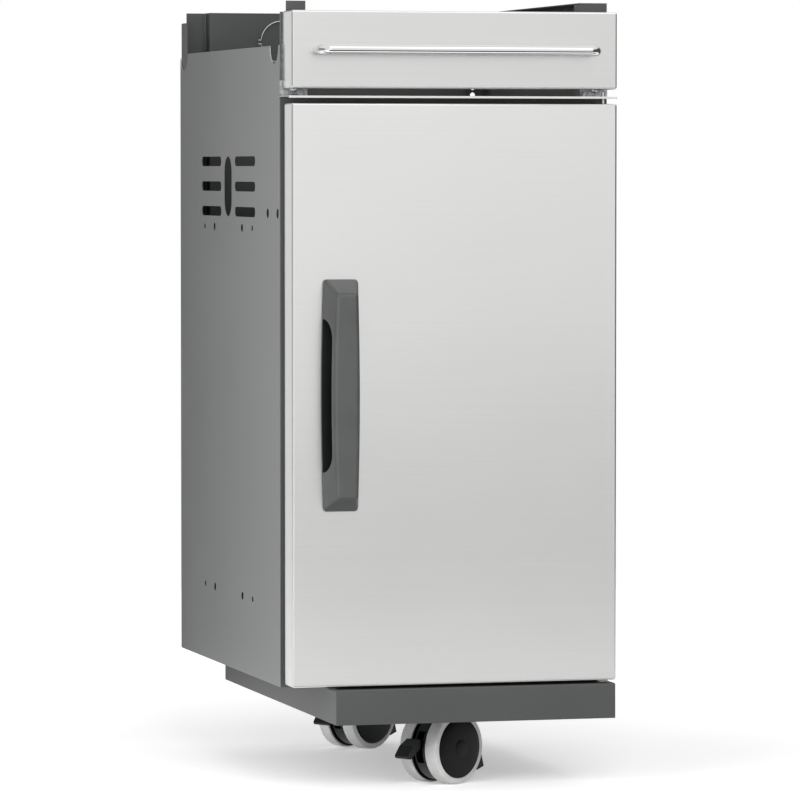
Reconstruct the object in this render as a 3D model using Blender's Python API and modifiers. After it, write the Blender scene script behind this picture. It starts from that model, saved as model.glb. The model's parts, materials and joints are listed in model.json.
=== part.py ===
"""Grill side cabinet: a sheet-metal cupboard on two twin-wheel casters.

Metres, +Z up, the front faces -Y. Sizes are set out from the middle of the body's
width (X), from the front face of the door (Y) and from the ground (Z), and one
empty then moves the whole cabinet so that its bounding box is centred on the origin.
"""

import bmesh
import bpy
from math import acos, atan2, cos, degrees, radians, sin
from mathutils import Matrix, Vector

# Clearance between pieces that rest on each other
GAP = 0.0003
# How far a cutter runs past what it cuts
CUT_OVER = 0.004

# Body
BODY_WIDTH = 0.377
BODY_FRONT_Y = 0.044
BODY_REAR_Y = 0.546
BODY_TOP_Z = 0.877
LEFT_PANEL_DROP = 0.049
SHEET = 0.0012
SEAT_NOTCH_RADIUS = 0.020
FRONT_NOTCH_FROM_EDGE = 0.026
REAR_NOTCH_FROM_EDGE = 0.0195

# Vents and fastening holes of the side panels
VENT_ROW_DROP = 0.1275
VENT_ROW_PITCH = 0.0287
VENT_ROWS = 3
VENT_HEIGHT = 0.0109
VENT_GROUP_LENGTH = 0.269
VENT_CENTRE_WIDTH = 0.036
VENT_WEB = 0.017
HOLE_ROW_UPPER_DROP = 0.0755
HOLE_ROW_LOWER_RISE = 0.0872
HOLE_OUTER_OFFSET = 0.120
HOLE_INNER_OFFSET = 0.0695
HOLE_OUTER_RADIUS = 0.0032
HOLE_INNER_RADIUS = 0.0046
SHELF_HOLE_RISE = 0.0175
SHELF_HOLE_FROM_FRONT = 0.009
SHELF_HOLE_PITCH = 0.047
SHELF_HOLE_RADIUS = 0.0052

# Posts
LEFT_POST_FLANGE = 0.0281
LEFT_POST_LIP = 0.0115
RIGHT_POST_FLANGE = 0.0300
RIGHT_POST_RETURN = 0.0235
POST_SIDE_LEG = 0.030
POST_TOP_LEG = 0.0045
POST_LEG_CUT_DEPTH = 0.020
POST_NOTCH_WIDTH = 0.0060
POST_NOTCH_HEIGHT = 0.0123
POST_HOLE_ABOVE_DIVIDER = 0.0088
POST_HOLE_PITCH = 0.0094
POST_HOLE_FROM_SIDE = 0.0152
POST_HOLE_RADIUS = 0.0032

# Back panel, a shallow pan open to the rear
BACK_PANEL_DEPTH = 0.026

# Base plinth
PLINTH_LEFT_INSET = 0.0535
PLINTH_RIGHT_INSET = 0.0015
PLINTH_FRONT_Y = 0.001
PLINTH_BOTTOM_Z = 0.079
PLINTH_HEIGHT = 0.0395
PLINTH_SHEET = 0.0015
PLINTH_BEND = 0.002
CHANNEL_WIDTH = 0.070
CHANNEL_SHEET = 0.002
CHANNEL_LIFT = 0.0075

# Door
DOOR_LEFT_INSET = 0.0035
DOOR_RIGHT_INSET = 0.0015
DOOR_BOTTOM_GAP = 0.0035
DOOR_TOP_GAP = 0.0056
DOOR_DEPTH = 0.0344
DOOR_SHEET = 0.001
DOOR_BEND = 0.0022
LINER_FLANGE = 0.008
LINER_SHEET = 0.0008
LINER_BEND = 0.0012

# Door pivots
PIVOT_FROM_RIGHT = 0.011
PIVOT_Y = 0.017
PIVOT_RADIUS = 0.00225
PIVOT_CLEARANCE = 0.0003
PIN_ABOVE_DIVIDER = 0.0054
PIVOT_BLOCK_WIDTH = 0.018
PIVOT_BLOCK_DEPTH = 0.015
PIVOT_BLOCK_HEIGHT = 0.020
PIVOT_HOLE_REACH = 0.003
PIVOT_BORE_DEPTH = 0.016
PIVOT_BLOCK_EDGE = 0.0008
PIN_CHAMFER = 0.001
PIN_HEAD_RADIUS = 0.0045
PIN_HEAD_HEIGHT = 0.002
PIVOT_WASHER_RADIUS = 0.006

# Door handle, a grip moulding with a finger recess on its left
HANDLE_LEFT_FROM_DOOR_EDGE = 0.034
HANDLE_WIDTH = 0.0423
HANDLE_HEIGHT = 0.2582
HANDLE_FROM_DOOR_BOTTOM = 0.1921
HANDLE_PROJECTION = 0.034
HANDLE_SIDE_TAPER = 0.0085
HANDLE_END_TAPER = 0.0173
HANDLE_SWELL = 0.0026
HANDLE_RIGHT_SWELL = 0.0018
HANDLE_EDGE_RADIUS = 0.0036
RECESS_HEIGHT = 0.1690
RECESS_FRONT_WALL = 0.0080
RECESS_BACK_WALL = 0.0030
RECESS_DEPTH = 0.0285
RECESS_CORNER_HEIGHT = 0.0230
HANDLE_SECTIONS = 7
HANDLE_SCREW_SPREAD = 0.205
HANDLE_SCREW_REACH = 0.012
HANDLE_SCREW_FROM_LEFT = 0.0262

# Header panel above the door
HEADER_DROP = 0.0115
HEADER_HEIGHT = 0.0855
HEADER_DEPTH = 0.041
HEADER_LOWER_FLANGE = 0.015
HEADER_SHEET = 0.001
HEADER_BEND = 0.0022

# Towel bar
TOWEL_BAR_RADIUS = 0.0057
TOWEL_BAR_FROM_END = 0.0295
TOWEL_BAR_STANDOFF = 0.023
TOWEL_BAR_RISE = 0.042
TOWEL_BAR_BEND = 0.0095
TOWEL_SCREW_REACH = 0.009

# Divider strip between header and door
DIVIDER_GAP = 0.0079
DIVIDER_HEIGHT = 0.0025
DIVIDER_SHEET = 0.0010
DIVIDER_REACH = 0.020
RAIL_HEIGHT = 0.030
RAIL_DEPTH = 0.022
RAIL_LOWER_FLANGE = 0.014

# Header brackets and their screws
BRACKET_SHEET = 0.0013
BRACKET_WIDTH = 0.0315
BRACKET_FORWARD = 0.032
BRACKET_SCREW_LENGTH = 0.009

# Pan-head screws; the head's outline is in head radii and head heights
SCREW_HEAD_RADIUS = 0.0046
SCREW_HEAD_HEIGHT = 0.0032
SCREW_HEAD_OUTLINE = ((0.0, 1.0), (0.55, 1.0), (0.85, 0.78), (1.0, 0.35), (1.0, 0.0))
SCREW_SHANK_RADIUS = 0.0022
SCREW_POINT = 0.0009

# Wire ring that guides the gas hose
RING_FROM_BACK_LEFT = 0.0856
RING_DROP = 0.0345
RING_RADIUS = 0.0248
RING_WIRE_RADIUS = 0.0008
RING_FROM_BACK = 0.009
RING_MOUTH = 0.0022
RING_TAIL = 0.0035
RING_CLIP_SIZE = 0.008
RING_CLIP_WALL = 0.0025
RING_CLIP_EDGE = 0.0008

# Catch, strike plate and bumpers
CATCH_FROM_DOOR_EDGE = 0.065
CATCH_WIDTH = 0.040
CATCH_HEIGHT = 0.015
CATCH_GAP = 0.0008
CATCH_EDGE = 0.001
CATCH_ABOVE_RAIL_EDGE = 0.003
STRIKE_THICKNESS = 0.0010
STRIKE_MARGIN = 0.0025
STRIKE_EDGE = 0.0004
BUMPER_FROM_DOOR_END = 0.076
BUMPER_RADIUS = 0.0055
BUMPER_TIP_RADIUS = 0.0039

# Casters
WHEEL_RADIUS = 0.041
WHEEL_WIDTH = 0.0188
WHEEL_SIDE_GAP = 0.0008
TRAIL = 0.0165
AXLE_RADIUS = 0.003
AXLE_IN_HUB = 0.0145
HUB_RADIUS = 0.0336
HUB_EDGE = 0.0015
HUB_DOME = 0.0022
HUB_DOME_TURNS = (17, 40, 65, 88)
HUB_BUTTON_RADIUS = 0.0090
HUB_BUTTON_HEIGHT = 0.0006
# The flange on the hub's inner side, which the tyre stands against
HUB_FLANGE_DROP = 0.0016
HUB_FLANGE_WIDTH = 0.0016
# The tyre's rounded edges, as drops below the tread and insets from its sides
TYRE_OUTER_EDGE = ((0.0036, 0.0), (0.0011, 0.0021), (0.0, 0.0056))
TYRE_INNER_EDGE = ((0.0012, 0.0), (0.0, 0.0014))
HOUSING_WIDTH = 0.0168
HOUSING_RADIUS = 0.0375
HOUSING_EDGE = 0.0015
GUARD_WIDTH = 0.0150
# The guard behind the wheels, as distances from the axle and heights above the ground
GUARD_OUTLINE = ((0.0, 0.041), (0.008, 0.074), (0.030, 0.074), (0.0450, 0.0620), (0.0555, 0.0460),
                 (0.0605, 0.0275), (0.0645, 0.0140), (0.0530, 0.0105), (0.0400, 0.0135), (0.0240, 0.0138))
STEM_RADIUS = 0.0055
STEM_TOP_Z = 0.106
SWIVEL_BOSS_RADIUS = 0.0080
STEM_BUSH_HEIGHT = 0.014
STEM_BUSH_WALL = 0.0025
STEM_BUSH_FLANGE = 0.006
STEM_BUSH_FLANGE_HEIGHT = 0.0025
FRONT_CASTER_OFFSET = 0.0011
FRONT_CASTER_INSET = 0.113
FRONT_CASTER_TURN = radians(33)
REAR_CASTER_OFFSET = -0.0012
REAR_CASTER_INSET = 0.058
REAR_CASTER_TURN = radians(34.5)

# Brake pedals of the casters
PEDAL_REACH = 0.0670
PEDAL_TOP_Z = 0.0465
PEDAL_BOTTOM_Z = 0.0320
PEDAL_WIDTH = 0.0200
PEDAL_TIP_RAKE = 0.0075
PEDAL_TIP_RADIUS = 0.0030
PEDAL_TOP_RADIUS = 0.0015
PEDAL_HEEL = 0.0050
PEDAL_NECK_TOP_Z = 0.0530
PEDAL_NECK_BOTTOM_Z = 0.0430
PEDAL_HOUSING_GAP = 0.0090
PEDAL_PIVOT_FORWARD = 0.022
PEDAL_PIVOT_Z = 0.0490
PEDAL_PIN_RADIUS = 0.0020
PEDAL_PIN_INSET = 0.0005
PEDAL_ROOT_WIDTH = 0.0090
PEDAL_ROOT_RADIUS = 0.0055
PEDAL_ROOT_TOP = 0.0012
PEDAL_ROOT_IN_BLADE = 0.004
PEDAL_ROOT_FROM_PIN = 0.001
PEDAL_SIDE_GAP = 0.0006
PEDAL_POCKET_CLEARANCE = 0.0015
PEDAL_POCKET_TOP = 0.0115
PEDAL_POCKET_BELOW = 0.007

# Places across the width, worked out from the sizes above
HALF_BODY = BODY_WIDTH / 2
POST_OUTER_X = HALF_BODY - SHEET - GAP
BACK_LEFT_X = -POST_OUTER_X + LEFT_POST_FLANGE + GAP
BACK_RIGHT_X = POST_OUTER_X - RIGHT_POST_FLANGE - GAP
PLINTH_LEFT_X = -HALF_BODY + PLINTH_LEFT_INSET
PLINTH_RIGHT_X = HALF_BODY - PLINTH_RIGHT_INSET
PLINTH_MIDDLE_X = (PLINTH_LEFT_X + PLINTH_RIGHT_X) / 2
DOOR_LEFT_X = -HALF_BODY + DOOR_LEFT_INSET
DOOR_RIGHT_X = HALF_BODY - DOOR_RIGHT_INSET
PIVOT_X = DOOR_RIGHT_X - PIVOT_FROM_RIGHT
PIVOT_BORE = PIVOT_RADIUS + PIVOT_CLEARANCE
HANDLE_LEFT_X = DOOR_LEFT_X + HANDLE_LEFT_FROM_DOOR_EDGE
CATCH_X = DOOR_LEFT_X + CATCH_FROM_DOOR_EDGE
RING_CENTRE_X = BACK_LEFT_X + RING_FROM_BACK_LEFT
FRONT_CASTER_X = PLINTH_MIDDLE_X + FRONT_CASTER_OFFSET
REAR_CASTER_X = PLINTH_MIDDLE_X + REAR_CASTER_OFFSET

# Places along the depth
FRONT_MOST_Y = -HANDLE_PROJECTION
CENTRE_Y = (FRONT_MOST_Y + BODY_REAR_Y) / 2
BACK_PANEL_Y = BODY_REAR_Y - BACK_PANEL_DEPTH
RING_PLANE_Y = BACK_PANEL_Y - RING_FROM_BACK
DIVIDER_REAR_Y = BODY_FRONT_Y + DIVIDER_REACH
FRONT_CASTER_Y = PLINTH_FRONT_Y + FRONT_CASTER_INSET
REAR_CASTER_Y = BODY_REAR_Y - REAR_CASTER_INSET

# Places up the height
PLINTH_TOP_Z = PLINTH_BOTTOM_Z + PLINTH_HEIGHT
CHANNEL_WEB_Z = PLINTH_BOTTOM_Z + CHANNEL_LIFT
BODY_BOTTOM_Z = PLINTH_TOP_Z + GAP
FLOOR_TOP_Z = BODY_BOTTOM_Z + SHEET
LEFT_PANEL_TOP_Z = BODY_TOP_Z - LEFT_PANEL_DROP
RIGHT_POST_TOP_Z = BODY_TOP_Z - SHEET - GAP
VENT_TOP_ROW_Z = LEFT_PANEL_TOP_Z - VENT_ROW_DROP
HOLE_ROW_UPPER_Z = VENT_TOP_ROW_Z - HOLE_ROW_UPPER_DROP
HOLE_ROW_LOWER_Z = BODY_BOTTOM_Z + HOLE_ROW_LOWER_RISE
SHELF_HOLE_Z = HOLE_ROW_UPPER_Z + SHELF_HOLE_RISE
RING_CENTRE_Z = BODY_TOP_Z - RING_DROP
HEADER_TOP_Z = BODY_TOP_Z - HEADER_DROP
HEADER_BOTTOM_Z = HEADER_TOP_Z - HEADER_HEIGHT
TOWEL_BAR_Z = HEADER_BOTTOM_Z + TOWEL_BAR_RISE
DIVIDER_UPPER_Z = HEADER_BOTTOM_Z - DIVIDER_GAP
DIVIDER_LOWER_Z = DIVIDER_UPPER_Z - DIVIDER_HEIGHT
POST_HOLE_Z = DIVIDER_UPPER_Z + POST_HOLE_ABOVE_DIVIDER
RAIL_TOP_Z = DIVIDER_UPPER_Z - DIVIDER_SHEET - GAP
RAIL_BOTTOM_Z = RAIL_TOP_Z - RAIL_HEIGHT
DOOR_TOP_Z = DIVIDER_LOWER_Z - DOOR_TOP_GAP
DOOR_BOTTOM_Z = PLINTH_TOP_Z + DOOR_BOTTOM_GAP
UPPER_PIN_TOP_Z = DIVIDER_UPPER_Z + PIN_ABOVE_DIVIDER
HANDLE_BOTTOM_Z = DOOR_BOTTOM_Z + HANDLE_FROM_DOOR_BOTTOM

for old in list(bpy.data.objects):
    bpy.data.objects.remove(old, do_unlink=True)

PARTS = bpy.data.collections.new("grill_cabinet")
CUTTERS = bpy.data.collections.new("grill_cabinet_cutters")
bpy.context.scene.collection.children.link(PARTS)
bpy.context.scene.collection.children.link(CUTTERS)


def srgb(code):
    """Linear colour of a six-digit sRGB code."""
    channels = [int(code[k:k + 2], 16) / 255 for k in (0, 2, 4)]
    return [c / 12.92 if c <= 0.04045 else ((c + 0.055) / 1.055) ** 2.4 for c in channels] + [1.0]


def material(name, code, metallic, roughness):
    made = bpy.data.materials.new(name)
    made.use_nodes = True
    shader = made.node_tree.nodes["Principled BSDF"]
    shader.inputs["Base Color"].default_value = srgb(code)
    shader.inputs["Metallic"].default_value = metallic
    shader.inputs["Roughness"].default_value = roughness
    made.diffuse_color = srgb(code)
    return made


STAINLESS = ("d6d6d6", 1.0, 0.32)
CHROME = ("e6e6e6", 1.0, 0.10)
GREY_PAINT = ("8a8a8a", 0.0, 0.45)
DARK_PAINT = ("4f5150", 0.0, 0.50)
ZINC = ("a0a0a0", 1.0, 0.42)
STEEL = ("b8b8b8", 1.0, 0.30)
DARK_PLASTIC = ("5c5e5d", 0.0, 0.45)
BLACK_PLASTIC = ("1c1d1d", 0.0, 0.48)
TYRE_RUBBER = ("b9b9b9", 0.0, 0.60)
BLACK_RUBBER = ("202020", 0.0, 0.70)
WHITE_NYLON = ("dcdcd6", 0.0, 0.45)


# What each parent empty adds so that its pieces can be set out from the cabinet's own axes
SET_OUT = {}


def empty(name, parent, location, turn=0.0, own_axes=True):
    """A joint's empty. Its pieces are set out from its own axes, or else from the cabinet's."""
    made = bpy.data.objects.new(name, None)
    made.location = location
    made.rotation_euler = (0.0, 0.0, turn)
    made.parent = parent
    PARTS.objects.link(made)
    SET_OUT[name] = Matrix() if own_axes else made.matrix_basis.inverted()
    return made


def hang(made, parent):
    made.parent = parent
    made.matrix_parent_inverse = SET_OUT[parent.name]


def piece(name, mesh, look, parent, smooth_angle=35):
    """An object of the cabinet, with a material of its own."""
    made = bpy.data.objects.new(name, mesh)
    mesh.materials.clear()
    mesh.materials.append(material(name + "_finish", *look))
    mesh.shade_smooth()
    mesh.set_sharp_from_angle(angle=radians(smooth_angle))
    hang(made, parent)
    PARTS.objects.link(made)
    return made


def mesh_from(bm, name):
    mesh = bpy.data.meshes.new(name)
    bm.to_mesh(mesh)
    bm.free()
    return mesh


def add_box(bm, x, y, z):
    """A box between the given limits, added to bm. Returns its vertices."""
    size = Vector((x[1] - x[0], y[1] - y[0], z[1] - z[0]))
    centre = Vector((x[0] + x[1], y[0] + y[1], z[0] + z[1])) / 2
    place = Matrix.Translation(centre) @ Matrix.Diagonal((*size, 1.0))
    return bmesh.ops.create_cube(bm, size=1.0, matrix=place)["verts"]


def add_rod(bm, start, end, radius, end_radius=None, sides=24):
    """A cylinder or cone from start to end, added to bm."""
    start, end = Vector(start), Vector(end)
    axis = end - start
    place = Matrix.Translation((start + end) / 2) @ axis.to_track_quat("Z", "Y").to_matrix().to_4x4()
    far = radius if end_radius is None else end_radius
    return bmesh.ops.create_cone(bm, cap_ends=True, segments=sides, radius1=radius, radius2=far,
                                 depth=axis.length, matrix=place)["verts"]


def box(name, x, y, z, look, parent, edge=0.0):
    bm = bmesh.new()
    add_box(bm, x, y, z)
    made = piece(name, mesh_from(bm, name), look, parent)
    if edge:
        round_edges(made, edge)
    return made


def round_edges(made, width, segments=2, angle=40):
    """Rounds the edges that bend by more than angle degrees."""
    bevel = made.modifiers.new("rounded_edges", "BEVEL")
    bevel.width = width
    bevel.segments = segments
    bevel.limit_method = "ANGLE"
    bevel.angle_limit = radians(angle)


def shell(made, thickness):
    """Gives an open surface its sheet thickness, on the side away from its normals."""
    solid = made.modifiers.new("sheet", "SOLIDIFY")
    solid.thickness = thickness
    solid.offset = -1.0
    solid.use_even_offset = True


def pan(name, x, y, z, open_side, sheet, bend, look, parent):
    """A tray of bent sheet: a box without the face on its open side."""
    bm = bmesh.new()
    add_box(bm, x, y, z)
    way = Vector(open_side)
    bm.normal_update()
    lids = [face for face in bm.faces if face.normal.dot(way) > 0.9]
    bmesh.ops.delete(bm, geom=lids, context="FACES_ONLY")
    made = piece(name, mesh_from(bm, name), look, parent)
    round_edges(made, bend)
    shell(made, sheet)
    return made


# How a profile's two coordinates and the place along its run lie in space, by the run's axis
ALONG = {"X": lambda a, b, c: Vector((c, a, b)), "Y": lambda a, b, c: Vector((a, c, b)),
         "Z": lambda a, b, c: Vector((a, b, c))}


def add_prism(bm, outline, run, axis):
    """A prism between two limits along an axis, added to bm."""
    face = bm.faces.new([bm.verts.new(ALONG[axis](a, b, run[0])) for a, b in outline])
    grown = bmesh.ops.extrude_face_region(bm, geom=[face])["geom"]
    moved = [item for item in grown if isinstance(item, bmesh.types.BMVert)]
    bmesh.ops.translate(bm, verts=moved, vec=ALONG[axis](0.0, 0.0, run[1] - run[0]))


def bent_sheet(name, profile, run, axis, sheet, look, parent, inside=None):
    """A folded sheet: its outer profile swept along one axis, with the sheet on the inside.

    The inside is the side of the profile's middle, or of the point that inside gives.
    """
    place = ALONG[axis]
    bm = bmesh.new()
    near = [bm.verts.new(place(a, b, run[0])) for a, b in profile]
    edges = [bm.edges.new(pair) for pair in zip(near, near[1:])]
    swept = bmesh.ops.extrude_edge_only(bm, edges=edges)["geom"]
    moved = [item for item in swept if isinstance(item, bmesh.types.BMVert)]
    bmesh.ops.translate(bm, verts=moved, vec=place(0.0, 0.0, run[1] - run[0]))
    bm.normal_update()
    if inside is None:
        inside = [sum(values) / len(profile) for values in zip(*profile)]
    widest = max(bm.faces, key=lambda face: face.calc_area())
    towards = place(*inside, (run[0] + run[1]) / 2) - widest.calc_center_median()
    if widest.normal.dot(towards) > 0.0:
        bmesh.ops.reverse_faces(bm, faces=bm.faces)
    made = piece(name, mesh_from(bm, name), look, parent)
    shell(made, sheet)
    return made


def arc(centre, radius, start, end, steps):
    """Points of an arc, angles in degrees, both ends included."""
    turns = [radians(start + (end - start) * k / steps) for k in range(steps + 1)]
    return [(centre[0] + radius * cos(t), centre[1] + radius * sin(t)) for t in turns]


def solid_from_curve(made, look, parent):
    """Turns a curve object into a welded mesh piece."""
    bpy.context.view_layer.update()
    graph = bpy.context.evaluated_depsgraph_get()
    mesh = bpy.data.meshes.new_from_object(made.evaluated_get(graph))
    mesh.transform(made.matrix_world)
    bm = bmesh.new()
    bm.from_mesh(mesh)
    bmesh.ops.remove_doubles(bm, verts=bm.verts, dist=0.000005)
    bmesh.ops.recalc_face_normals(bm, faces=bm.faces)
    bm.to_mesh(mesh)
    bm.free()
    name = made.name
    bpy.data.objects.remove(made, do_unlink=True)
    mesh.name = name
    return piece(name, mesh, look, parent)


def flat_outline(name, outline, thickness, place, look, parent):
    """A plate with the given outline. place takes the outline's plane to the cabinet's axes."""
    curve = bpy.data.curves.new(name, "CURVE")
    curve.dimensions = "2D"
    curve.fill_mode = "BOTH"
    curve.extrude = thickness / 2
    spline = curve.splines.new("POLY")
    spline.points.add(len(outline) - 1)
    for point, (a, b) in zip(spline.points, outline):
        point.co = (a, b, 0.0, 1.0)
    spline.use_cyclic_u = True
    made = bpy.data.objects.new(name, curve)
    made.matrix_world = place
    PARTS.objects.link(made)
    return solid_from_curve(made, look, parent)


def wire(name, points, radius, look, parent, resolution=2):
    """A round bar or wire along points."""
    curve = bpy.data.curves.new(name, "CURVE")
    curve.dimensions = "3D"
    curve.bevel_depth = radius
    curve.bevel_resolution = resolution
    curve.use_fill_caps = True
    spline = curve.splines.new("POLY")
    spline.points.add(len(points) - 1)
    for point, place in zip(spline.points, points):
        point.co = (*place, 1.0)
    made = bpy.data.objects.new(name, curve)
    PARTS.objects.link(made)
    return solid_from_curve(made, look, parent)


def turned(name, profile, location, axis, look, parent, steps=32):
    """A turned piece. The profile holds (radius, height) and runs down its outer side."""
    bm = bmesh.new()
    ring = [bm.verts.new((radius, 0.0, height)) for radius, height in profile]
    for pair in zip(ring, ring[1:]):
        bm.edges.new(pair)
    if profile[0][0] > 0.0:
        bm.edges.new((ring[-1], ring[0]))
    made = piece(name, mesh_from(bm, name), look, parent)
    screw = made.modifiers.new("turned", "SCREW")
    screw.steps = steps
    screw.render_steps = steps
    screw.use_merge_vertices = True
    screw.merge_threshold = 0.00001
    screw.use_smooth_shade = True
    made.location = location
    made.rotation_euler = Vector(axis).to_track_quat("Z", "Y").to_euler()
    return made


def rod(name, start, end, radius, look, parent, sides=20, edge=0.0):
    bm = bmesh.new()
    add_rod(bm, start, end, radius, sides=sides)
    made = piece(name, mesh_from(bm, name), look, parent)
    if edge:
        round_edges(made, edge, angle=60)
    return made


def shape(made, name, build, operation):
    """Cuts made, or adds to it, with a hidden object whose closed shapes build adds."""
    bm = bmesh.new()
    build(bm)
    bmesh.ops.recalc_face_normals(bm, faces=bm.faces)
    tool = bpy.data.objects.new(name, mesh_from(bm, name))
    tool.hide_render = True
    tool.display_type = "WIRE"
    hang(tool, made.parent)
    CUTTERS.objects.link(tool)
    step = made.modifiers.new(name, "BOOLEAN")
    step.operation = operation
    step.solver = "EXACT"
    step.object = tool


def cut(made, name, build):
    shape(made, name, build, "DIFFERENCE")


def join(made, name, build):
    shape(made, name, build, "UNION")


# Side panels

def add_obround(bm, x, centre, size):
    """An obround prism through a side panel. centre and size are (Y, Z)."""
    half_y, half_z = size[0] / 2, size[1] / 2
    radius = min(half_y, half_z)
    if half_y > half_z:
        reach = half_y - radius
        outline = arc((reach, 0.0), radius, -90, 90, 6) + arc((-reach, 0.0), radius, 90, 270, 6)
    else:
        reach = half_z - radius
        outline = arc((0.0, reach), radius, 0, 180, 10) + arc((0.0, -reach), radius, 180, 360, 10)
    add_prism(bm, [(centre[0] + y, centre[1] + z) for y, z in outline], x, "X")


def through_panel(side):
    """Limits along X that pass right through a side panel, and through nothing else."""
    return sorted((side * (HALF_BODY + CUT_OVER), side * (HALF_BODY - SHEET - CUT_OVER)))


def add_side_openings(bm, side):
    """Vents and fastening holes; side is -1 for the left panel and 1 for the right."""
    x = through_panel(side)
    middle = (BODY_FRONT_Y + BODY_REAR_Y) / 2
    slot = (VENT_GROUP_LENGTH - VENT_CENTRE_WIDTH) / 2 - VENT_WEB
    reach = (VENT_GROUP_LENGTH - slot) / 2
    for row in range(VENT_ROWS):
        for way in (-1, 1):
            place = (middle + way * reach, VENT_TOP_ROW_Z - row * VENT_ROW_PITCH)
            add_obround(bm, x, place, (slot, VENT_HEIGHT))
    spread = (VENT_ROWS - 1) * VENT_ROW_PITCH
    add_obround(bm, x, (middle, VENT_TOP_ROW_Z - spread / 2), (VENT_CENTRE_WIDTH, spread + VENT_HEIGHT))
    pairs = ((HOLE_OUTER_OFFSET, HOLE_OUTER_RADIUS), (HOLE_INNER_OFFSET, HOLE_INNER_RADIUS))
    for z in (HOLE_ROW_UPPER_Z, HOLE_ROW_LOWER_Z):
        for way in (-1, 1):
            for offset, radius in pairs:
                y = middle + way * offset
                add_rod(bm, (x[0], y, z), (x[1], y, z), radius, sides=12)


def add_shelf_holes(bm):
    """The two larger holes near the front edge of the left panel."""
    x = through_panel(-1)
    for k in range(2):
        y = BODY_FRONT_Y + SHELF_HOLE_FROM_FRONT + k * SHELF_HOLE_PITCH
        add_rod(bm, (x[0], y, SHELF_HOLE_Z), (x[1], y, SHELF_HOLE_Z), SHELF_HOLE_RADIUS, sides=20)


def make_side_panels():
    front_centre = (BODY_FRONT_Y + FRONT_NOTCH_FROM_EDGE, LEFT_PANEL_TOP_Z)
    rear_centre = (BODY_REAR_Y - REAR_NOTCH_FROM_EDGE, LEFT_PANEL_TOP_Z)
    rear_start = -degrees(acos(REAR_NOTCH_FROM_EDGE / SEAT_NOTCH_RADIUS))
    outline = [(BODY_FRONT_Y, BODY_BOTTOM_Z), (BODY_REAR_Y, BODY_BOTTOM_Z)]
    outline += arc(rear_centre, SEAT_NOTCH_RADIUS, rear_start, -180, 12)
    outline += arc(front_centre, SEAT_NOTCH_RADIUS, 0, -180, 12)
    outline += [(BODY_FRONT_Y, LEFT_PANEL_TOP_Z)]
    stand = Matrix(((0, 0, 1, -HALF_BODY + SHEET / 2), (1, 0, 0, 0), (0, 1, 0, 0), (0, 0, 0, 1)))
    left = flat_outline("left_side_panel", outline, SHEET, stand, GREY_PAINT, cabinet)
    cut(left, "left_panel_openings", lambda bm: add_side_openings(bm, -1))
    cut(left, "left_panel_shelf_holes", add_shelf_holes)
    profile = [(HALF_BODY, BODY_BOTTOM_Z), (HALF_BODY, BODY_TOP_Z),
               (POST_OUTER_X - RIGHT_POST_FLANGE, BODY_TOP_Z)]
    right = bent_sheet("right_side_panel", profile, (BODY_FRONT_Y, BODY_REAR_Y), "Y", SHEET, GREY_PAINT,
                       cabinet)
    cut(right, "right_panel_openings", lambda bm: add_side_openings(bm, 1))


# Posts, back and floor

def post(name, side, rear, flange, lip, top_z):
    """A folded corner post: a leg along the side panel, a flange and a lip."""
    face = BODY_REAR_Y if rear else BODY_FRONT_Y
    inward = -1 if rear else 1
    outer = side * POST_OUTER_X
    inner = outer - side * flange
    profile = [(outer, face + inward * POST_SIDE_LEG), (outer, face),
               (inner, face), (inner, face + inward * lip)]
    made = bent_sheet(name, profile, (BODY_BOTTOM_Z, top_z), "Z", SHEET, DARK_PAINT, cabinet)

    def add_holes(bm):
        x = side * (HALF_BODY - POST_HOLE_FROM_SIDE)
        for k in range(2):
            z = POST_HOLE_Z + k * POST_HOLE_PITCH
            add_rod(bm, (x, face - CUT_OVER, z), (x, face + CUT_OVER, z), POST_HOLE_RADIUS, sides=16)

    def add_notch(bm):
        x = (-HALF_BODY - CUT_OVER, -POST_OUTER_X + POST_NOTCH_WIDTH)
        y = sorted((face - inward * CUT_OVER, face + inward * (POST_SIDE_LEG + CUT_OVER)))
        add_box(bm, x, y, (BODY_TOP_Z - POST_NOTCH_HEIGHT, BODY_TOP_Z + CUT_OVER))

    def add_leg_cut(bm):
        x = (-POST_OUTER_X - CUT_OVER, -POST_OUTER_X + SHEET + CUT_OVER)
        y = (face + POST_TOP_LEG, face + POST_SIDE_LEG + CUT_OVER)
        add_box(bm, x, y, (LEFT_PANEL_TOP_Z - POST_LEG_CUT_DEPTH, BODY_TOP_Z + CUT_OVER))

    cut(made, name + "_holes", add_holes)
    if side < 0:
        cut(made, name + "_notch", add_notch)
    if side < 0 and not rear:
        cut(made, name + "_leg_cut", add_leg_cut)


def make_posts():
    post("front_left_post", -1, False, LEFT_POST_FLANGE, LEFT_POST_LIP, BODY_TOP_Z)
    post("rear_left_post", -1, True, LEFT_POST_FLANGE, LEFT_POST_LIP, BODY_TOP_Z)
    post("front_right_post", 1, False, RIGHT_POST_FLANGE, RIGHT_POST_RETURN, RIGHT_POST_TOP_Z)
    post("rear_right_post", 1, True, RIGHT_POST_FLANGE, RIGHT_POST_RETURN, RIGHT_POST_TOP_Z)


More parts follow.
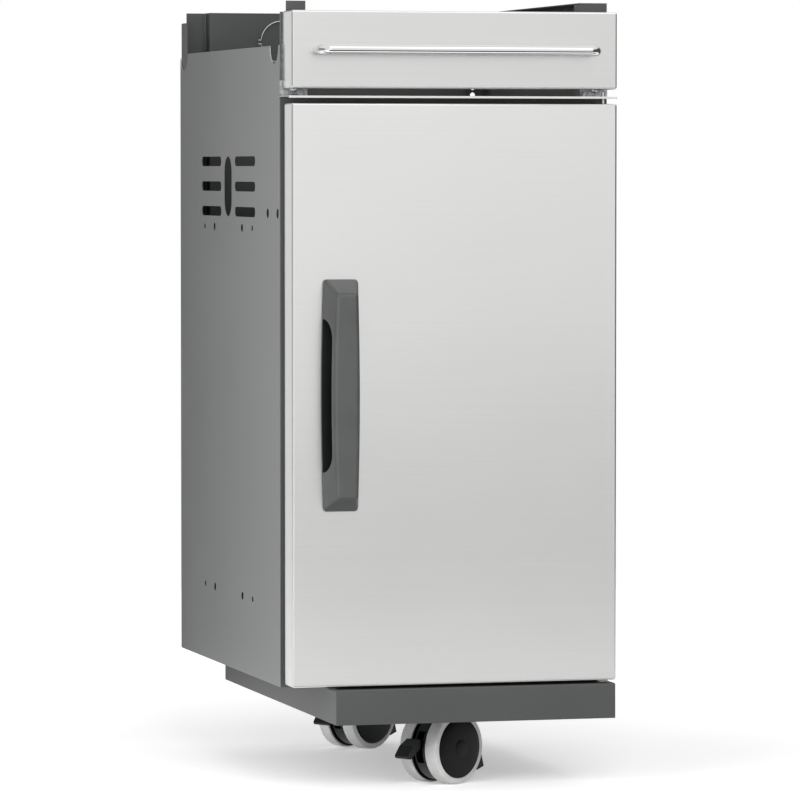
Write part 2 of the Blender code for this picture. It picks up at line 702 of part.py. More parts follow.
def make_back_and_floor():
    profile = [(BACK_LEFT_X, BODY_REAR_Y), (BACK_LEFT_X, BACK_PANEL_Y),
               (BACK_RIGHT_X, BACK_PANEL_Y), (BACK_RIGHT_X, BODY_REAR_Y)]
    bent_sheet("back_panel", profile, (FLOOR_TOP_Z + GAP, BODY_TOP_Z), "Z", SHEET, DARK_PAINT, cabinet)
    inner_x = POST_OUTER_X - SHEET - GAP
    floor = box("floor_panel", (-inner_x, inner_x), (BODY_FRONT_Y + SHEET + GAP, BODY_REAR_Y - SHEET - GAP),
                (BODY_BOTTOM_Z, FLOOR_TOP_Z), DARK_PAINT, cabinet)
    z = (BODY_BOTTOM_Z - CUT_OVER, FLOOR_TOP_Z + CUT_OVER)

    def add_corners(bm):
        for side, inner, lip in ((-1, BACK_LEFT_X, LEFT_POST_LIP), (1, BACK_RIGHT_X, RIGHT_POST_RETURN)):
            x = sorted((inner, side * (HALF_BODY + CUT_OVER)))
            add_box(bm, x, (BODY_FRONT_Y - CUT_OVER, BODY_FRONT_Y + lip + GAP), z)
            add_box(bm, x, (BODY_REAR_Y - lip - GAP, BODY_REAR_Y + CUT_OVER), z)

    cut(floor, "floor_corners", add_corners)


# Base plinth and what carries the casters

def make_plinth():
    plinth = pan("base_plinth", (PLINTH_LEFT_X, PLINTH_RIGHT_X), (PLINTH_FRONT_Y, BODY_REAR_Y),
                 (PLINTH_BOTTOM_Z, PLINTH_TOP_Z), (0, 0, -1), PLINTH_SHEET, PLINTH_BEND, DARK_PAINT, cabinet)
    cut(plinth, "plinth_pivot_hole", lambda bm: add_rod(
        bm, (PIVOT_X, PIVOT_Y, PLINTH_TOP_Z - PLINTH_SHEET - CUT_OVER),
        (PIVOT_X, PIVOT_Y, PLINTH_TOP_Z + CUT_OVER), PIVOT_RADIUS + GAP, sides=16))
    for end, x, y in (("front", FRONT_CASTER_X, FRONT_CASTER_Y), ("rear", REAR_CASTER_X, REAR_CASTER_Y)):
        make_caster_channel(end, x, y)


def make_caster_channel(end, x, y):
    top = PLINTH_TOP_Z - PLINTH_SHEET - GAP
    profile = [(y - CHANNEL_WIDTH / 2, top), (y - CHANNEL_WIDTH / 2, CHANNEL_WEB_Z),
               (y + CHANNEL_WIDTH / 2, CHANNEL_WEB_Z), (y + CHANNEL_WIDTH / 2, top)]
    run = (PLINTH_LEFT_X + PLINTH_SHEET + GAP, PLINTH_RIGHT_X - PLINTH_SHEET - GAP)
    channel = bent_sheet(end + "_caster_channel", profile, run, "X", CHANNEL_SHEET, ZINC, cabinet)
    cut(channel, end + "_channel_stem_hole", lambda bm: add_rod(
        bm, (x, y, CHANNEL_WEB_Z - CUT_OVER), (x, y, CHANNEL_WEB_Z + CHANNEL_SHEET + CUT_OVER),
        STEM_RADIUS + GAP))
    seat = CHANNEL_WEB_Z + CHANNEL_SHEET + GAP
    bore = STEM_RADIUS + GAP
    wall = bore + STEM_BUSH_WALL
    flange = bore + STEM_BUSH_FLANGE
    profile = [(bore, STEM_BUSH_HEIGHT), (wall, STEM_BUSH_HEIGHT), (wall, STEM_BUSH_FLANGE_HEIGHT),
               (flange, STEM_BUSH_FLANGE_HEIGHT), (flange, 0.0), (bore, 0.0)]
    turned(end + "_caster_stem_bush", profile, (x, y, seat), (0, 0, 1), WHITE_NYLON, cabinet, steps=16)


# Front above the door: rail, divider, brackets, header and towel bar

def make_rail_and_divider():
    profile = [(BODY_FRONT_Y + RAIL_DEPTH, RAIL_TOP_Z), (BODY_FRONT_Y, RAIL_TOP_Z),
               (BODY_FRONT_Y, RAIL_BOTTOM_Z), (BODY_FRONT_Y + RAIL_LOWER_FLANGE, RAIL_BOTTOM_Z)]
    bent_sheet("upper_cross_rail", profile, (BACK_LEFT_X, BACK_RIGHT_X), "X", SHEET, DARK_PAINT, cabinet)
    profile = [(0.0, DIVIDER_LOWER_Z), (0.0, DIVIDER_UPPER_Z), (DIVIDER_REAR_Y, DIVIDER_UPPER_Z)]
    divider = bent_sheet("divider_strip", profile, (-HALF_BODY, DOOR_RIGHT_X), "X", DIVIDER_SHEET,
                         STAINLESS, cabinet, inside=(DIVIDER_REAR_Y / 2, DIVIDER_LOWER_Z - DIVIDER_REAR_Y))

    def add_corners(bm):
        y = (BODY_FRONT_Y - GAP, DIVIDER_REAR_Y + CUT_OVER)
        z = (DIVIDER_LOWER_Z - CUT_OVER, DIVIDER_UPPER_Z + CUT_OVER)
        add_box(bm, (-HALF_BODY - CUT_OVER, BACK_LEFT_X), y, z)
        add_box(bm, (BACK_RIGHT_X, HALF_BODY + CUT_OVER), y, z)

    cut(divider, "divider_corners", add_corners)
    cut(divider, "divider_pivot_hole", lambda bm: add_rod(
        bm, (PIVOT_X, PIVOT_Y, DIVIDER_LOWER_Z - CUT_OVER), (PIVOT_X, PIVOT_Y, DIVIDER_UPPER_Z + CUT_OVER),
        PIVOT_BORE, sides=16))


def make_header():
    header = pan("header_panel", (DOOR_LEFT_X, DOOR_RIGHT_X), (0.0, HEADER_DEPTH),
                 (HEADER_BOTTOM_Z, HEADER_TOP_Z), (0, 1, 0), HEADER_SHEET, HEADER_BEND, STAINLESS, cabinet)
    inner_x = (DOOR_LEFT_X + HEADER_BEND, DOOR_RIGHT_X - HEADER_BEND)
    cut(header, "header_lower_flange_cut", lambda bm: add_box(
        bm, inner_x, (HEADER_LOWER_FLANGE, HEADER_DEPTH + CUT_OVER),
        (HEADER_BOTTOM_Z - CUT_OVER, HEADER_BOTTOM_Z + HEADER_SHEET + GAP)))
    legs = (DOOR_LEFT_X + TOWEL_BAR_FROM_END, DOOR_RIGHT_X - TOWEL_BAR_FROM_END)

    def add_screw_holes(bm):
        for x in legs:
            add_rod(bm, (x, -CUT_OVER, TOWEL_BAR_Z), (x, HEADER_SHEET + CUT_OVER, TOWEL_BAR_Z),
                    SCREW_SHANK_RADIUS + GAP, sides=16)

    cut(header, "header_bar_holes", add_screw_holes)
    left, right = legs
    front = -TOWEL_BAR_STANDOFF
    bend = TOWEL_BAR_BEND
    route = [(left, -GAP)] + arc((left + bend, front + bend), bend, 180, 270, 6)
    route += arc((right - bend, front + bend), bend, 270, 360, 6) + [(right, -GAP)]
    bar = wire("towel_bar", [(x, y, TOWEL_BAR_Z) for x, y in route], TOWEL_BAR_RADIUS, CHROME, cabinet,
               resolution=4)

    def add_tapped_holes(bm):
        for x in legs:
            add_rod(bm, (x, -TOWEL_SCREW_REACH - GAP, TOWEL_BAR_Z), (x, CUT_OVER, TOWEL_BAR_Z),
                    SCREW_SHANK_RADIUS + GAP, sides=16)

    cut(bar, "towel_bar_tapped_holes", add_tapped_holes)
    for side, x in zip(("left", "right"), legs):
        screw("towel_bar_screw_" + side, (x, HEADER_SHEET + GAP, TOWEL_BAR_Z), (0, 1, 0),
              HEADER_SHEET + GAP + TOWEL_SCREW_REACH, cabinet)


def screw(name, seat, axis, length, parent):
    """A pan-head screw: its head stands on seat along axis and its shank runs the other way."""
    profile = [(a * SCREW_HEAD_RADIUS, b * SCREW_HEAD_HEIGHT) for a, b in SCREW_HEAD_OUTLINE]
    profile += [(SCREW_SHANK_RADIUS, 0.0), (SCREW_SHANK_RADIUS, SCREW_POINT - length),
                (SCREW_SHANK_RADIUS - SCREW_POINT, -length), (0.0, -length)]
    turned(name, profile, seat, axis, STEEL, parent, steps=12)


def make_header_brackets():
    """A folded zinc bracket on each front post carries the header."""
    plate_y = BODY_FRONT_Y - GAP
    plate_z = (DIVIDER_UPPER_Z + GAP, HEADER_TOP_Z - HEADER_SHEET - GAP)
    reach_y = plate_y - BRACKET_FORWARD
    for side, name in ((-1, "left"), (1, "right")):
        outer = side * HALF_BODY
        inner = outer - side * BRACKET_WIDTH
        x = sorted((outer, inner))
        profile = [(plate_y, plate_z[0]), (plate_y, plate_z[1]), (reach_y, plate_z[1])]
        bracket = bent_sheet(name + "_header_bracket", profile, x, "X", BRACKET_SHEET, ZINC, cabinet)
        header_side = DOOR_LEFT_X if side < 0 else DOOR_RIGHT_X
        clear = sorted((header_side - side * (HEADER_BEND + GAP), side * (HALF_BODY + CUT_OVER)))

        def add_header_room(bm):
            add_box(bm, clear, (reach_y - CUT_OVER, HEADER_DEPTH + GAP),
                    (HEADER_BOTTOM_Z - GAP, plate_z[1] + CUT_OVER))

        hole_x = side * (HALF_BODY - POST_HOLE_FROM_SIDE)
        cut(bracket, name + "_bracket_header_room", add_header_room)
        cut(bracket, name + "_bracket_hole", lambda bm: add_rod(
            bm, (hole_x, plate_y - BRACKET_SHEET - CUT_OVER, POST_HOLE_Z),
            (hole_x, plate_y + CUT_OVER, POST_HOLE_Z), SCREW_SHANK_RADIUS + GAP, sides=16))
        screw(name + "_bracket_screw", (hole_x, plate_y - BRACKET_SHEET - GAP, POST_HOLE_Z), (0, -1, 0),
              BRACKET_SCREW_LENGTH, cabinet)


def make_hose_ring():
    """An open wire ring near the back, with a flared mouth on its left and a leg to its clip."""
    mouth = degrees(RING_MOUTH / RING_RADIUS)
    loop = arc((RING_CENTRE_X, RING_CENTRE_Z), RING_RADIUS, 180 - mouth, -180 + mouth, 26)
    upper, lower = loop[0], loop[-1]
    route = [(upper[0] - RING_TAIL, upper[1])] + loop + [(lower[0] - RING_TAIL, lower[1])]
    wire("hose_ring", [(x, RING_PLANE_Y, z) for x, z in route], RING_WIRE_RADIUS, STEEL, cabinet)
    x = RING_CENTRE_X + RING_RADIUS
    half = RING_CLIP_SIZE / 2
    clip = box("hose_ring_clip", (x - half, x + half),
               (RING_PLANE_Y - RING_WIRE_RADIUS - RING_CLIP_WALL, BACK_PANEL_Y - GAP),
               (RING_CENTRE_Z - half, RING_CENTRE_Z + half), BLACK_PLASTIC, cabinet, RING_CLIP_EDGE)
    room = RING_WIRE_RADIUS + GAP
    cut(clip, "hose_ring_clip_groove", lambda bm: add_box(
        bm, (x - half / 2, x + room), (RING_PLANE_Y - room, RING_PLANE_Y + room),
        (RING_CENTRE_Z - RING_CLIP_SIZE, RING_CENTRE_Z + RING_CLIP_SIZE)))


# Door

def make_door():
    skin = pan("door_skin", (DOOR_LEFT_X, DOOR_RIGHT_X), (0.0, DOOR_DEPTH), (DOOR_BOTTOM_Z, DOOR_TOP_Z),
               (0, 1, 0), DOOR_SHEET, DOOR_BEND, STAINLESS, door)
    inset = DOOR_SHEET + GAP
    liner_y = (DOOR_DEPTH - LINER_FLANGE, DOOR_DEPTH)
    pan("door_liner", (DOOR_LEFT_X + inset, DOOR_RIGHT_X - inset), liner_y,
        (DOOR_BOTTOM_Z + inset, DOOR_TOP_Z - inset), (0, -1, 0), LINER_SHEET, LINER_BEND, STAINLESS, door)

    def add_pivot_holes(bm):
        for z in (DOOR_BOTTOM_Z, DOOR_TOP_Z):
            add_rod(bm, (PIVOT_X, PIVOT_Y, z - PIVOT_HOLE_REACH), (PIVOT_X, PIVOT_Y, z + PIVOT_HOLE_REACH),
                    PIVOT_BORE, sides=16)

    cut(skin, "door_pivot_holes", add_pivot_holes)
    screw_x = HANDLE_LEFT_X + HANDLE_SCREW_FROM_LEFT
    screw_z = [HANDLE_BOTTOM_Z + HANDLE_HEIGHT / 2 + way * HANDLE_SCREW_SPREAD / 2 for way in (-1, 1)]

    def add_handle_holes(bm):
        for z in screw_z:
            add_rod(bm, (screw_x, -CUT_OVER, z), (screw_x, DOOR_SHEET + CUT_OVER, z),
                    SCREW_SHANK_RADIUS + GAP, sides=16)

    cut(skin, "door_handle_holes", add_handle_holes)
    make_handle(screw_x, screw_z)
    for side, z in zip(("lower", "upper"), screw_z):
        screw("handle_screw_" + side, (screw_x, DOOR_SHEET + GAP, z), (0, 1, 0),
              DOOR_SHEET + GAP + HANDLE_SCREW_REACH, door)
    make_pivots(inset)
    make_catch_and_bumpers()


def make_handle(screw_x, screw_z):
    """A moulded grip with tapered sides, a slightly swelled left edge and a recess for the fingers."""
    bm = bmesh.new()
    x = (HANDLE_LEFT_X, HANDLE_LEFT_X + HANDLE_WIDTH)
    z = (HANDLE_BOTTOM_Z, HANDLE_BOTTOM_Z + HANDLE_HEIGHT)
    add_box(bm, x, (-HANDLE_PROJECTION, -GAP), z)
    upright = [edge for edge in bm.edges if edge.calc_length() > HANDLE_HEIGHT / 2]
    bmesh.ops.subdivide_edges(bm, edges=upright, cuts=HANDLE_SECTIONS, use_grid_fill=True)
    middle = (z[0] + z[1]) / 2
    for vert in bm.verts:
        along = (vert.co.z - middle) / (HANDLE_HEIGHT / 2)
        left = vert.co.x < (x[0] + x[1]) / 2
        if vert.co.y < -HANDLE_PROJECTION / 2:
            vert.co.z = middle + along * (HANDLE_HEIGHT / 2 - HANDLE_END_TAPER)
            vert.co.x += HANDLE_SIDE_TAPER if left else -HANDLE_SIDE_TAPER
        if left:
            vert.co.x -= HANDLE_SWELL * (1.0 - along * along)
        else:
            vert.co.x -= HANDLE_RIGHT_SWELL * along * along
    handle = piece("door_handle", mesh_from(bm, "door_handle"), DARK_PLASTIC, door)
    round_edges(handle, HANDLE_EDGE_RADIUS, angle=25)

    def add_recess(bm):
        reach = HANDLE_PROJECTION - RECESS_FRONT_WALL - RECESS_BACK_WALL
        straight = RECESS_HEIGHT / 2 - RECESS_CORNER_HEIGHT
        upper = [(-RECESS_BACK_WALL - reach * sin(radians(turn)),
                  straight + RECESS_CORNER_HEIGHT * cos(radians(turn))) for turn in range(0, 91, 15)]
        outline = [(y, middle + rise) for y, rise in upper]
        outline += [(y, middle - rise) for y, rise in reversed(upper)]
        mouth = x[0] - HANDLE_SWELL - CUT_OVER
        add_prism(bm, outline, (mouth, x[0] + RECESS_DEPTH), "X")

    def add_screw_bores(bm):
        for z_screw in screw_z:
            add_rod(bm, (screw_x, CUT_OVER, z_screw), (screw_x, -HANDLE_SCREW_REACH - 2 * GAP, z_screw),
                    SCREW_SHANK_RADIUS + GAP, sides=16)

    cut(handle, "handle_finger_recess", add_recess)
    cut(handle, "handle_screw_bores", add_screw_bores)


def make_pivots(inset):
    """The two pivot pins, the blocks inside the door that carry it on them, and a washer."""
    x = (PIVOT_X - PIVOT_BLOCK_WIDTH / 2, PIVOT_X + PIVOT_BLOCK_WIDTH / 2)
    y = (PIVOT_Y - PIVOT_BLOCK_DEPTH / 2, PIVOT_Y + PIVOT_BLOCK_DEPTH / 2)
    top = DOOR_TOP_Z - inset
    bottom = DOOR_BOTTOM_Z + inset
    upper_z = (top - PIVOT_BLOCK_HEIGHT, top)
    lower_z = (bottom, bottom + PIVOT_BLOCK_HEIGHT)
    upper = box("upper_pivot_block", x, y, upper_z, BLACK_PLASTIC, door, PIVOT_BLOCK_EDGE)
    lower = box("lower_pivot_block", x, y, lower_z, BLACK_PLASTIC, door, PIVOT_BLOCK_EDGE)
    cut(upper, "upper_block_bore", lambda bm: add_rod(
        bm, (PIVOT_X, PIVOT_Y, top - PIVOT_BORE_DEPTH), (PIVOT_X, PIVOT_Y, top + CUT_OVER),
        PIVOT_BORE, sides=16))
    cut(lower, "lower_block_bore", lambda bm: add_rod(
        bm, (PIVOT_X, PIVOT_Y, bottom - CUT_OVER), (PIVOT_X, PIVOT_Y, bottom + PIVOT_BORE_DEPTH),
        PIVOT_BORE, sides=16))
    rod("upper_pivot_pin", (PIVOT_X, PIVOT_Y, top - PIVOT_BORE_DEPTH + GAP),
        (PIVOT_X, PIVOT_Y, UPPER_PIN_TOP_Z), PIVOT_RADIUS, STEEL, door, sides=16, edge=PIN_CHAMFER)
    seat = PLINTH_TOP_Z - PLINTH_SHEET - GAP
    pin_top = bottom + PIVOT_BORE_DEPTH - GAP
    profile = [(0.0, pin_top), (PIVOT_RADIUS - PIN_CHAMFER, pin_top), (PIVOT_RADIUS, pin_top - PIN_CHAMFER),
               (PIVOT_RADIUS, seat), (PIN_HEAD_RADIUS, seat), (PIN_HEAD_RADIUS, seat - PIN_HEAD_HEIGHT),
               (0.0, seat - PIN_HEAD_HEIGHT)]
    turned("lower_pivot_pin", profile, (PIVOT_X, PIVOT_Y, 0.0), (0, 0, 1), STEEL, cabinet, steps=16)
    low, high = PLINTH_TOP_Z + GAP, DOOR_BOTTOM_Z - GAP
    profile = [(PIVOT_BORE, high), (PIVOT_WASHER_RADIUS, high), (PIVOT_WASHER_RADIUS, low), (PIVOT_BORE, low)]
    turned("pivot_washer", profile, (PIVOT_X, PIVOT_Y, 0.0), (0, 0, 1), WHITE_NYLON, cabinet, steps=20)


def make_catch_and_bumpers():
    x = (CATCH_X - CATCH_WIDTH / 2, CATCH_X + CATCH_WIDTH / 2)
    low = RAIL_BOTTOM_Z + CATCH_ABOVE_RAIL_EDGE
    z = (low, low + CATCH_HEIGHT)
    strike_y = DOOR_DEPTH + GAP
    catch_y = (strike_y + STRIKE_THICKNESS + CATCH_GAP, BODY_FRONT_Y - GAP)
    box("magnet_catch", x, catch_y, z, BLACK_PLASTIC, cabinet, CATCH_EDGE)
    box("catch_strike_plate", (x[0] - STRIKE_MARGIN, x[1] + STRIKE_MARGIN),
        (strike_y, strike_y + STRIKE_THICKNESS), (z[0] - STRIKE_MARGIN, z[1] + STRIKE_MARGIN),
        STEEL, door, STRIKE_EDGE)
    length = BODY_FRONT_Y - DOOR_DEPTH - 2 * GAP
    profile = [(0.0, length), (BUMPER_TIP_RADIUS, length), (BUMPER_RADIUS, 0.0), (0.0, 0.0)]
    heights = (DOOR_BOTTOM_Z + BUMPER_FROM_DOOR_END, DOOR_TOP_Z - BUMPER_FROM_DOOR_END)
    for name, height in zip(("lower", "upper"), heights):
        place = (-POST_OUTER_X + LEFT_POST_FLANGE / 2, strike_y, height)
        turned("door_bumper_" + name, profile, place, (0, 1, 0), BLACK_RUBBER, door, steps=16)


# Casters, each set out from its own swivel axis with the wheels trailing along -X

def make_caster(end, x, y, turn):
    swivel = empty(end + "_caster_swivel", cabinet, (x, y, 0.0), turn)
    name = end + "_caster_"
    axle_x = -TRAIL
    half = HOUSING_WIDTH / 2
    bm = bmesh.new()
    add_rod(bm, (axle_x, -half, WHEEL_RADIUS), (axle_x, half, WHEEL_RADIUS), HOUSING_RADIUS,
            sides=32)
    housing = piece(name + "housing", mesh_from(bm, name + "housing"), BLACK_PLASTIC, swivel)
    round_edges(housing, HOUSING_EDGE, segments=1, angle=60)

    def add_boss(bm):
        add_rod(bm, (0, 0, WHEEL_RADIUS), (0, 0, CHANNEL_WEB_Z - GAP), SWIVEL_BOSS_RADIUS)

    def add_stem(bm):
        add_rod(bm, (0, 0, WHEEL_RADIUS + SWIVEL_BOSS_RADIUS), (0, 0, STEM_TOP_Z), STEM_RADIUS)

    def add_guard(bm):
        outline = [(axle_x + reach, height) for reach, height in GUARD_OUTLINE]
        add_prism(bm, outline, (-GUARD_WIDTH / 2, GUARD_WIDTH / 2), "Y")

    pivot_x = axle_x - PEDAL_PIVOT_FORWARD
    pocket_half = PEDAL_ROOT_WIDTH / 2 + PEDAL_SIDE_GAP

    def add_pocket(bm):
        back = pivot_x + PEDAL_ROOT_RADIUS + PEDAL_POCKET_CLEARANCE
        add_box(bm, (axle_x - HOUSING_RADIUS - CUT_OVER, back), (-pocket_half, pocket_half),
                (PEDAL_BOTTOM_Z - PEDAL_POCKET_BELOW, PEDAL_PIVOT_Z + PEDAL_POCKET_TOP))

    def add_axle_bore(bm):
        add_rod(bm, (axle_x, -half - CUT_OVER, WHEEL_RADIUS), (axle_x, half + CUT_OVER, WHEEL_RADIUS),
                AXLE_RADIUS + GAP, sides=20)

    def add_pin_bore(bm):
        add_rod(bm, (pivot_x, -half - CUT_OVER, PEDAL_PIVOT_Z), (pivot_x, half + CUT_OVER, PEDAL_PIVOT_Z),
                PEDAL_PIN_RADIUS + GAP, sides=16)

    join(housing, name + "boss", add_boss)
    join(housing, name + "stem", add_stem)
    join(housing, name + "guard", add_guard)
    cut(housing, name + "pedal_pocket", add_pocket)
    cut(housing, name + "axle_bore", add_axle_bore)
    cut(housing, name + "pedal_pin_bore", add_pin_bore)
    reach = half + WHEEL_SIDE_GAP + AXLE_IN_HUB
    rod(name + "axle", (axle_x, -reach, WHEEL_RADIUS), (axle_x, reach, WHEEL_RADIUS), AXLE_RADIUS, STEEL,
        swivel)
    pin_reach = half - PEDAL_PIN_INSET
    rod(name + "pedal_pin", (pivot_x, -pin_reach, PEDAL_PIVOT_Z), (pivot_x, pin_reach, PEDAL_PIVOT_Z),
        PEDAL_PIN_RADIUS, STEEL, swivel, sides=16)
    for side, way in (("left", 1), ("right", -1)):
        place = (axle_x, way * (half + WHEEL_SIDE_GAP), WHEEL_RADIUS)
        make_wheel(name + side + "_", place, (0, way, 0), swivel)
    make_pedal(name, (pivot_x, 0.0, PEDAL_PIVOT_Z), swivel)


def make_wheel(name, place, axis, swivel):
    """A hub with a domed cap and its tyre; place is the middle of the wheel's inner side."""
    hub_empty = empty(name + "wheel_axis", swivel, place)
    bore = AXLE_RADIUS + GAP
    deep = AXLE_IN_HUB + GAP
    button = WHEEL_WIDTH + HUB_DOME + HUB_BUTTON_HEIGHT
    profile = [(0.0, button), (HUB_BUTTON_RADIUS, button)]
    for turn in HUB_DOME_TURNS:
        profile.append((HUB_RADIUS * sin(radians(turn)), WHEEL_WIDTH + HUB_DOME * cos(radians(turn))))
    flange = WHEEL_RADIUS - HUB_FLANGE_DROP
    profile += [(HUB_RADIUS, WHEEL_WIDTH - HUB_EDGE), (HUB_RADIUS, HUB_FLANGE_WIDTH),
                (flange, HUB_FLANGE_WIDTH), (flange, 0.0), (bore, 0.0), (bore, deep), (0.0, deep)]
    turned(name + "hub", profile, (0, 0, 0), axis, BLACK_PLASTIC, hub_empty, steps=28)
    inner = HUB_RADIUS + GAP
    side = HUB_FLANGE_WIDTH + GAP
    profile = [(inner, WHEEL_WIDTH)]
    profile += [(WHEEL_RADIUS - drop, WHEEL_WIDTH - inset) for drop, inset in TYRE_OUTER_EDGE]
    profile += [(WHEEL_RADIUS - drop, side + inset) for drop, inset in reversed(TYRE_INNER_EDGE)]
    profile.append((inner, side))
    turned(name + "tyre", profile, (0, 0, 0), axis, TYRE_RUBBER, hub_empty, steps=36)


def make_pedal(name, pivot, swivel):
    """The brake pedal: a root on its pin and a blade that reaches past the wheels."""
    pedal_axis = empty(name + "pedal_axis", swivel, pivot)
    tip = -TRAIL - PEDAL_REACH - pivot[0]
    start = -TRAIL - HOUSING_RADIUS - PEDAL_HOUSING_GAP - pivot[0]
    top, bottom = PEDAL_TOP_Z - pivot[2], PEDAL_BOTTOM_Z - pivot[2]
    neck_top, neck_bottom = PEDAL_NECK_TOP_Z - pivot[2], PEDAL_NECK_BOTTOM_Z - pivot[2]
    facing = 90 + degrees(atan2(top - bottom, PEDAL_TIP_RAKE))
    brow = (tip + PEDAL_TIP_RAKE + PEDAL_TOP_RADIUS, top - PEDAL_TOP_RADIUS)
    nose = (tip + PEDAL_TIP_RADIUS, bottom + PEDAL_TIP_RADIUS)
    outline = [(start, neck_bottom), (start, neck_top)] + arc(brow, PEDAL_TOP_RADIUS, 90, facing, 3)
    outline += arc(nose, PEDAL_TIP_RADIUS, facing, 270, 5) + [(tip + PEDAL_HEEL, bottom)]
    stand = Matrix(((1, 0, 0, 0), (0, 0, -1, 0), (0, 1, 0, 0), (0, 0, 0, 1)))
    pedal = flat_outline(name + "brake_pedal", outline, PEDAL_WIDTH, stand, BLACK_PLASTIC, pedal_axis)
    root_half = PEDAL_ROOT_WIDTH / 2

    def add_root(bm):
        add_box(bm, (start - PEDAL_ROOT_IN_BLADE, -PEDAL_ROOT_FROM_PIN), (-root_half, root_half),
                (-PEDAL_ROOT_RADIUS, PEDAL_ROOT_TOP))

    def add_eye(bm):
        add_rod(bm, (0, -root_half, 0), (0, root_half, 0), PEDAL_ROOT_RADIUS, sides=24)

    join(pedal, name + "pedal_root", add_root)
    join(pedal, name + "pedal_eye", add_eye)
    cut(pedal, name + "pedal_eye_bore", lambda bm: add_rod(
        bm, (0, -root_half - CUT_OVER, 0), (0, root_half + CUT_OVER, 0), PEDAL_PIN_RADIUS + GAP, sides=16))


cabinet = empty("cabinet_origin", None, (0.0, -CENTRE_Y, 0.0))
door = empty("door_pivot_axis", cabinet, (PIVOT_X, PIVOT_Y, 0.0), own_axes=False)
make_side_panels()
make_posts()
make_back_and_floor()
make_plinth()
make_rail_and_divider()
make_header()
make_header_brackets()
make_hose_ring()
make_door()
make_caster("front", FRONT_CASTER_X, FRONT_CASTER_Y, FRONT_CASTER_TURN)
make_caster("rear", REAR_CASTER_X, REAR_CASTER_Y, REAR_CASTER_TURN)
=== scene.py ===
"""Looks of the grill side cabinet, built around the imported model.

Metres, +Z up, the front faces -Y. Every piece is made where the model's node lies, with its
mesh in the model's own axes, so that it turns with its body and its texture stays put.
"""

import json
from math import cos, pi, radians, sin

import bmesh
import bpy
from mathutils import Matrix, Vector


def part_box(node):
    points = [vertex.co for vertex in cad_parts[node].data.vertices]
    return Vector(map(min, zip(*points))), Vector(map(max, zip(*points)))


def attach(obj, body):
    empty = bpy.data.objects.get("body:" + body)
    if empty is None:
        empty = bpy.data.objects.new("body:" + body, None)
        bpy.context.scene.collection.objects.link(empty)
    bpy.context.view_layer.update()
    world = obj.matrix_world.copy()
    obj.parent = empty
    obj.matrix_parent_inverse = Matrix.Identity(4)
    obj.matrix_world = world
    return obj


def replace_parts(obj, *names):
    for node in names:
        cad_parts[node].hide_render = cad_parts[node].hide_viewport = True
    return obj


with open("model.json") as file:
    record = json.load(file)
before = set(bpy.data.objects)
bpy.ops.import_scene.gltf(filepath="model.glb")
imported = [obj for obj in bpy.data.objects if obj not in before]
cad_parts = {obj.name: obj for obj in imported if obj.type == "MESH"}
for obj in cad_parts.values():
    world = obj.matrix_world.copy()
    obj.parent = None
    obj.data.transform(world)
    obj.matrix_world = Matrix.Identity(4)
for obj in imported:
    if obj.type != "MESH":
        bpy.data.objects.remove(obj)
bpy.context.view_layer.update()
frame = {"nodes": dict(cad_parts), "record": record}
NODES = frame["nodes"]

# Camera of the photograph: its place, its turn to the left and its tilt down, and a long lens
CAMERA_PLACE = (-1.55096, -5.84082, 0.69357)
CAMERA_TURN = radians(-14.9206)
CAMERA_TILT = radians(90.0 - 2.5371)
CAMERA_LENS = 236.28
CAMERA_SENSOR = 36.0


# ---------------------------------------------------------------- shader helpers

def linear(code):
    """Linear colour of a six-digit sRGB code."""
    channels = [int(code[k:k + 2], 16) / 255 for k in (0, 2, 4)]
    return [c / 12.92 if c <= 0.04045 else ((c + 0.055) / 1.055) ** 2.4 for c in channels] + [1.0]


def add(tree, kind, sockets=(), **settings):
    """Adds a node. sockets pairs an input's name or number with a value or another node's output."""
    node = tree.nodes.new("ShaderNode" + kind)
    for name, value in settings.items():
        setattr(node, name, value)
    for key, value in dict(sockets).items():
        if isinstance(value, bpy.types.NodeSocket):
            tree.links.new(value, node.inputs[key])
        else:
            node.inputs[key].default_value = value
    return node


def finish(name, **sockets):
    """A material with one Principled shader. sockets are its inputs, spaces written as underscores."""
    made = bpy.data.materials.new(name)
    made.use_nodes = True
    tree = made.node_tree
    tree.nodes.clear()
    inputs = {key.replace("_", " "): value for key, value in sockets.items()}
    shader = add(tree, "BsdfPrincipled", inputs)
    output = add(tree, "OutputMaterial")
    tree.links.new(shader.outputs[0], output.inputs["Surface"])
    place = add(tree, "TexCoord").outputs["Object"]
    return made, tree, shader, place


def tinted(tree, shader, value, low, high, dark, light):
    """Base colour that runs from dark to light as the value goes from low to high."""
    share = add(tree, "MapRange", {"Value": value, "From Min": low, "From Max": high}).outputs[0]
    mix = add(tree, "Mix", {"Factor": share, "A": linear(dark), "B": linear(light)}, data_type="RGBA")
    tree.links.new(mix.outputs["Result"], shader.inputs["Base Color"])


def polished(tree, shader, value, low, high, at_low, at_high):
    """Roughness that runs from at_low to at_high as the value goes from low to high."""
    span = {"Value": value, "From Min": low, "From Max": high, "To Min": at_low, "To Max": at_high}
    tree.links.new(add(tree, "MapRange", span).outputs[0], shader.inputs["Roughness"])


def relief(tree, shader, heights):
    """Bumps from pairs of a height, 0 to 1, and its real depth in metres."""
    normal = None
    for height, depth in heights:
        sockets = {"Height": height, "Strength": 1.0, "Distance": depth}
        if normal is not None:
            sockets["Normal"] = normal
        normal = add(tree, "Bump", sockets).outputs["Normal"]
    tree.links.new(normal, shader.inputs["Normal"])


# ---------------------------------------------------------------- materials

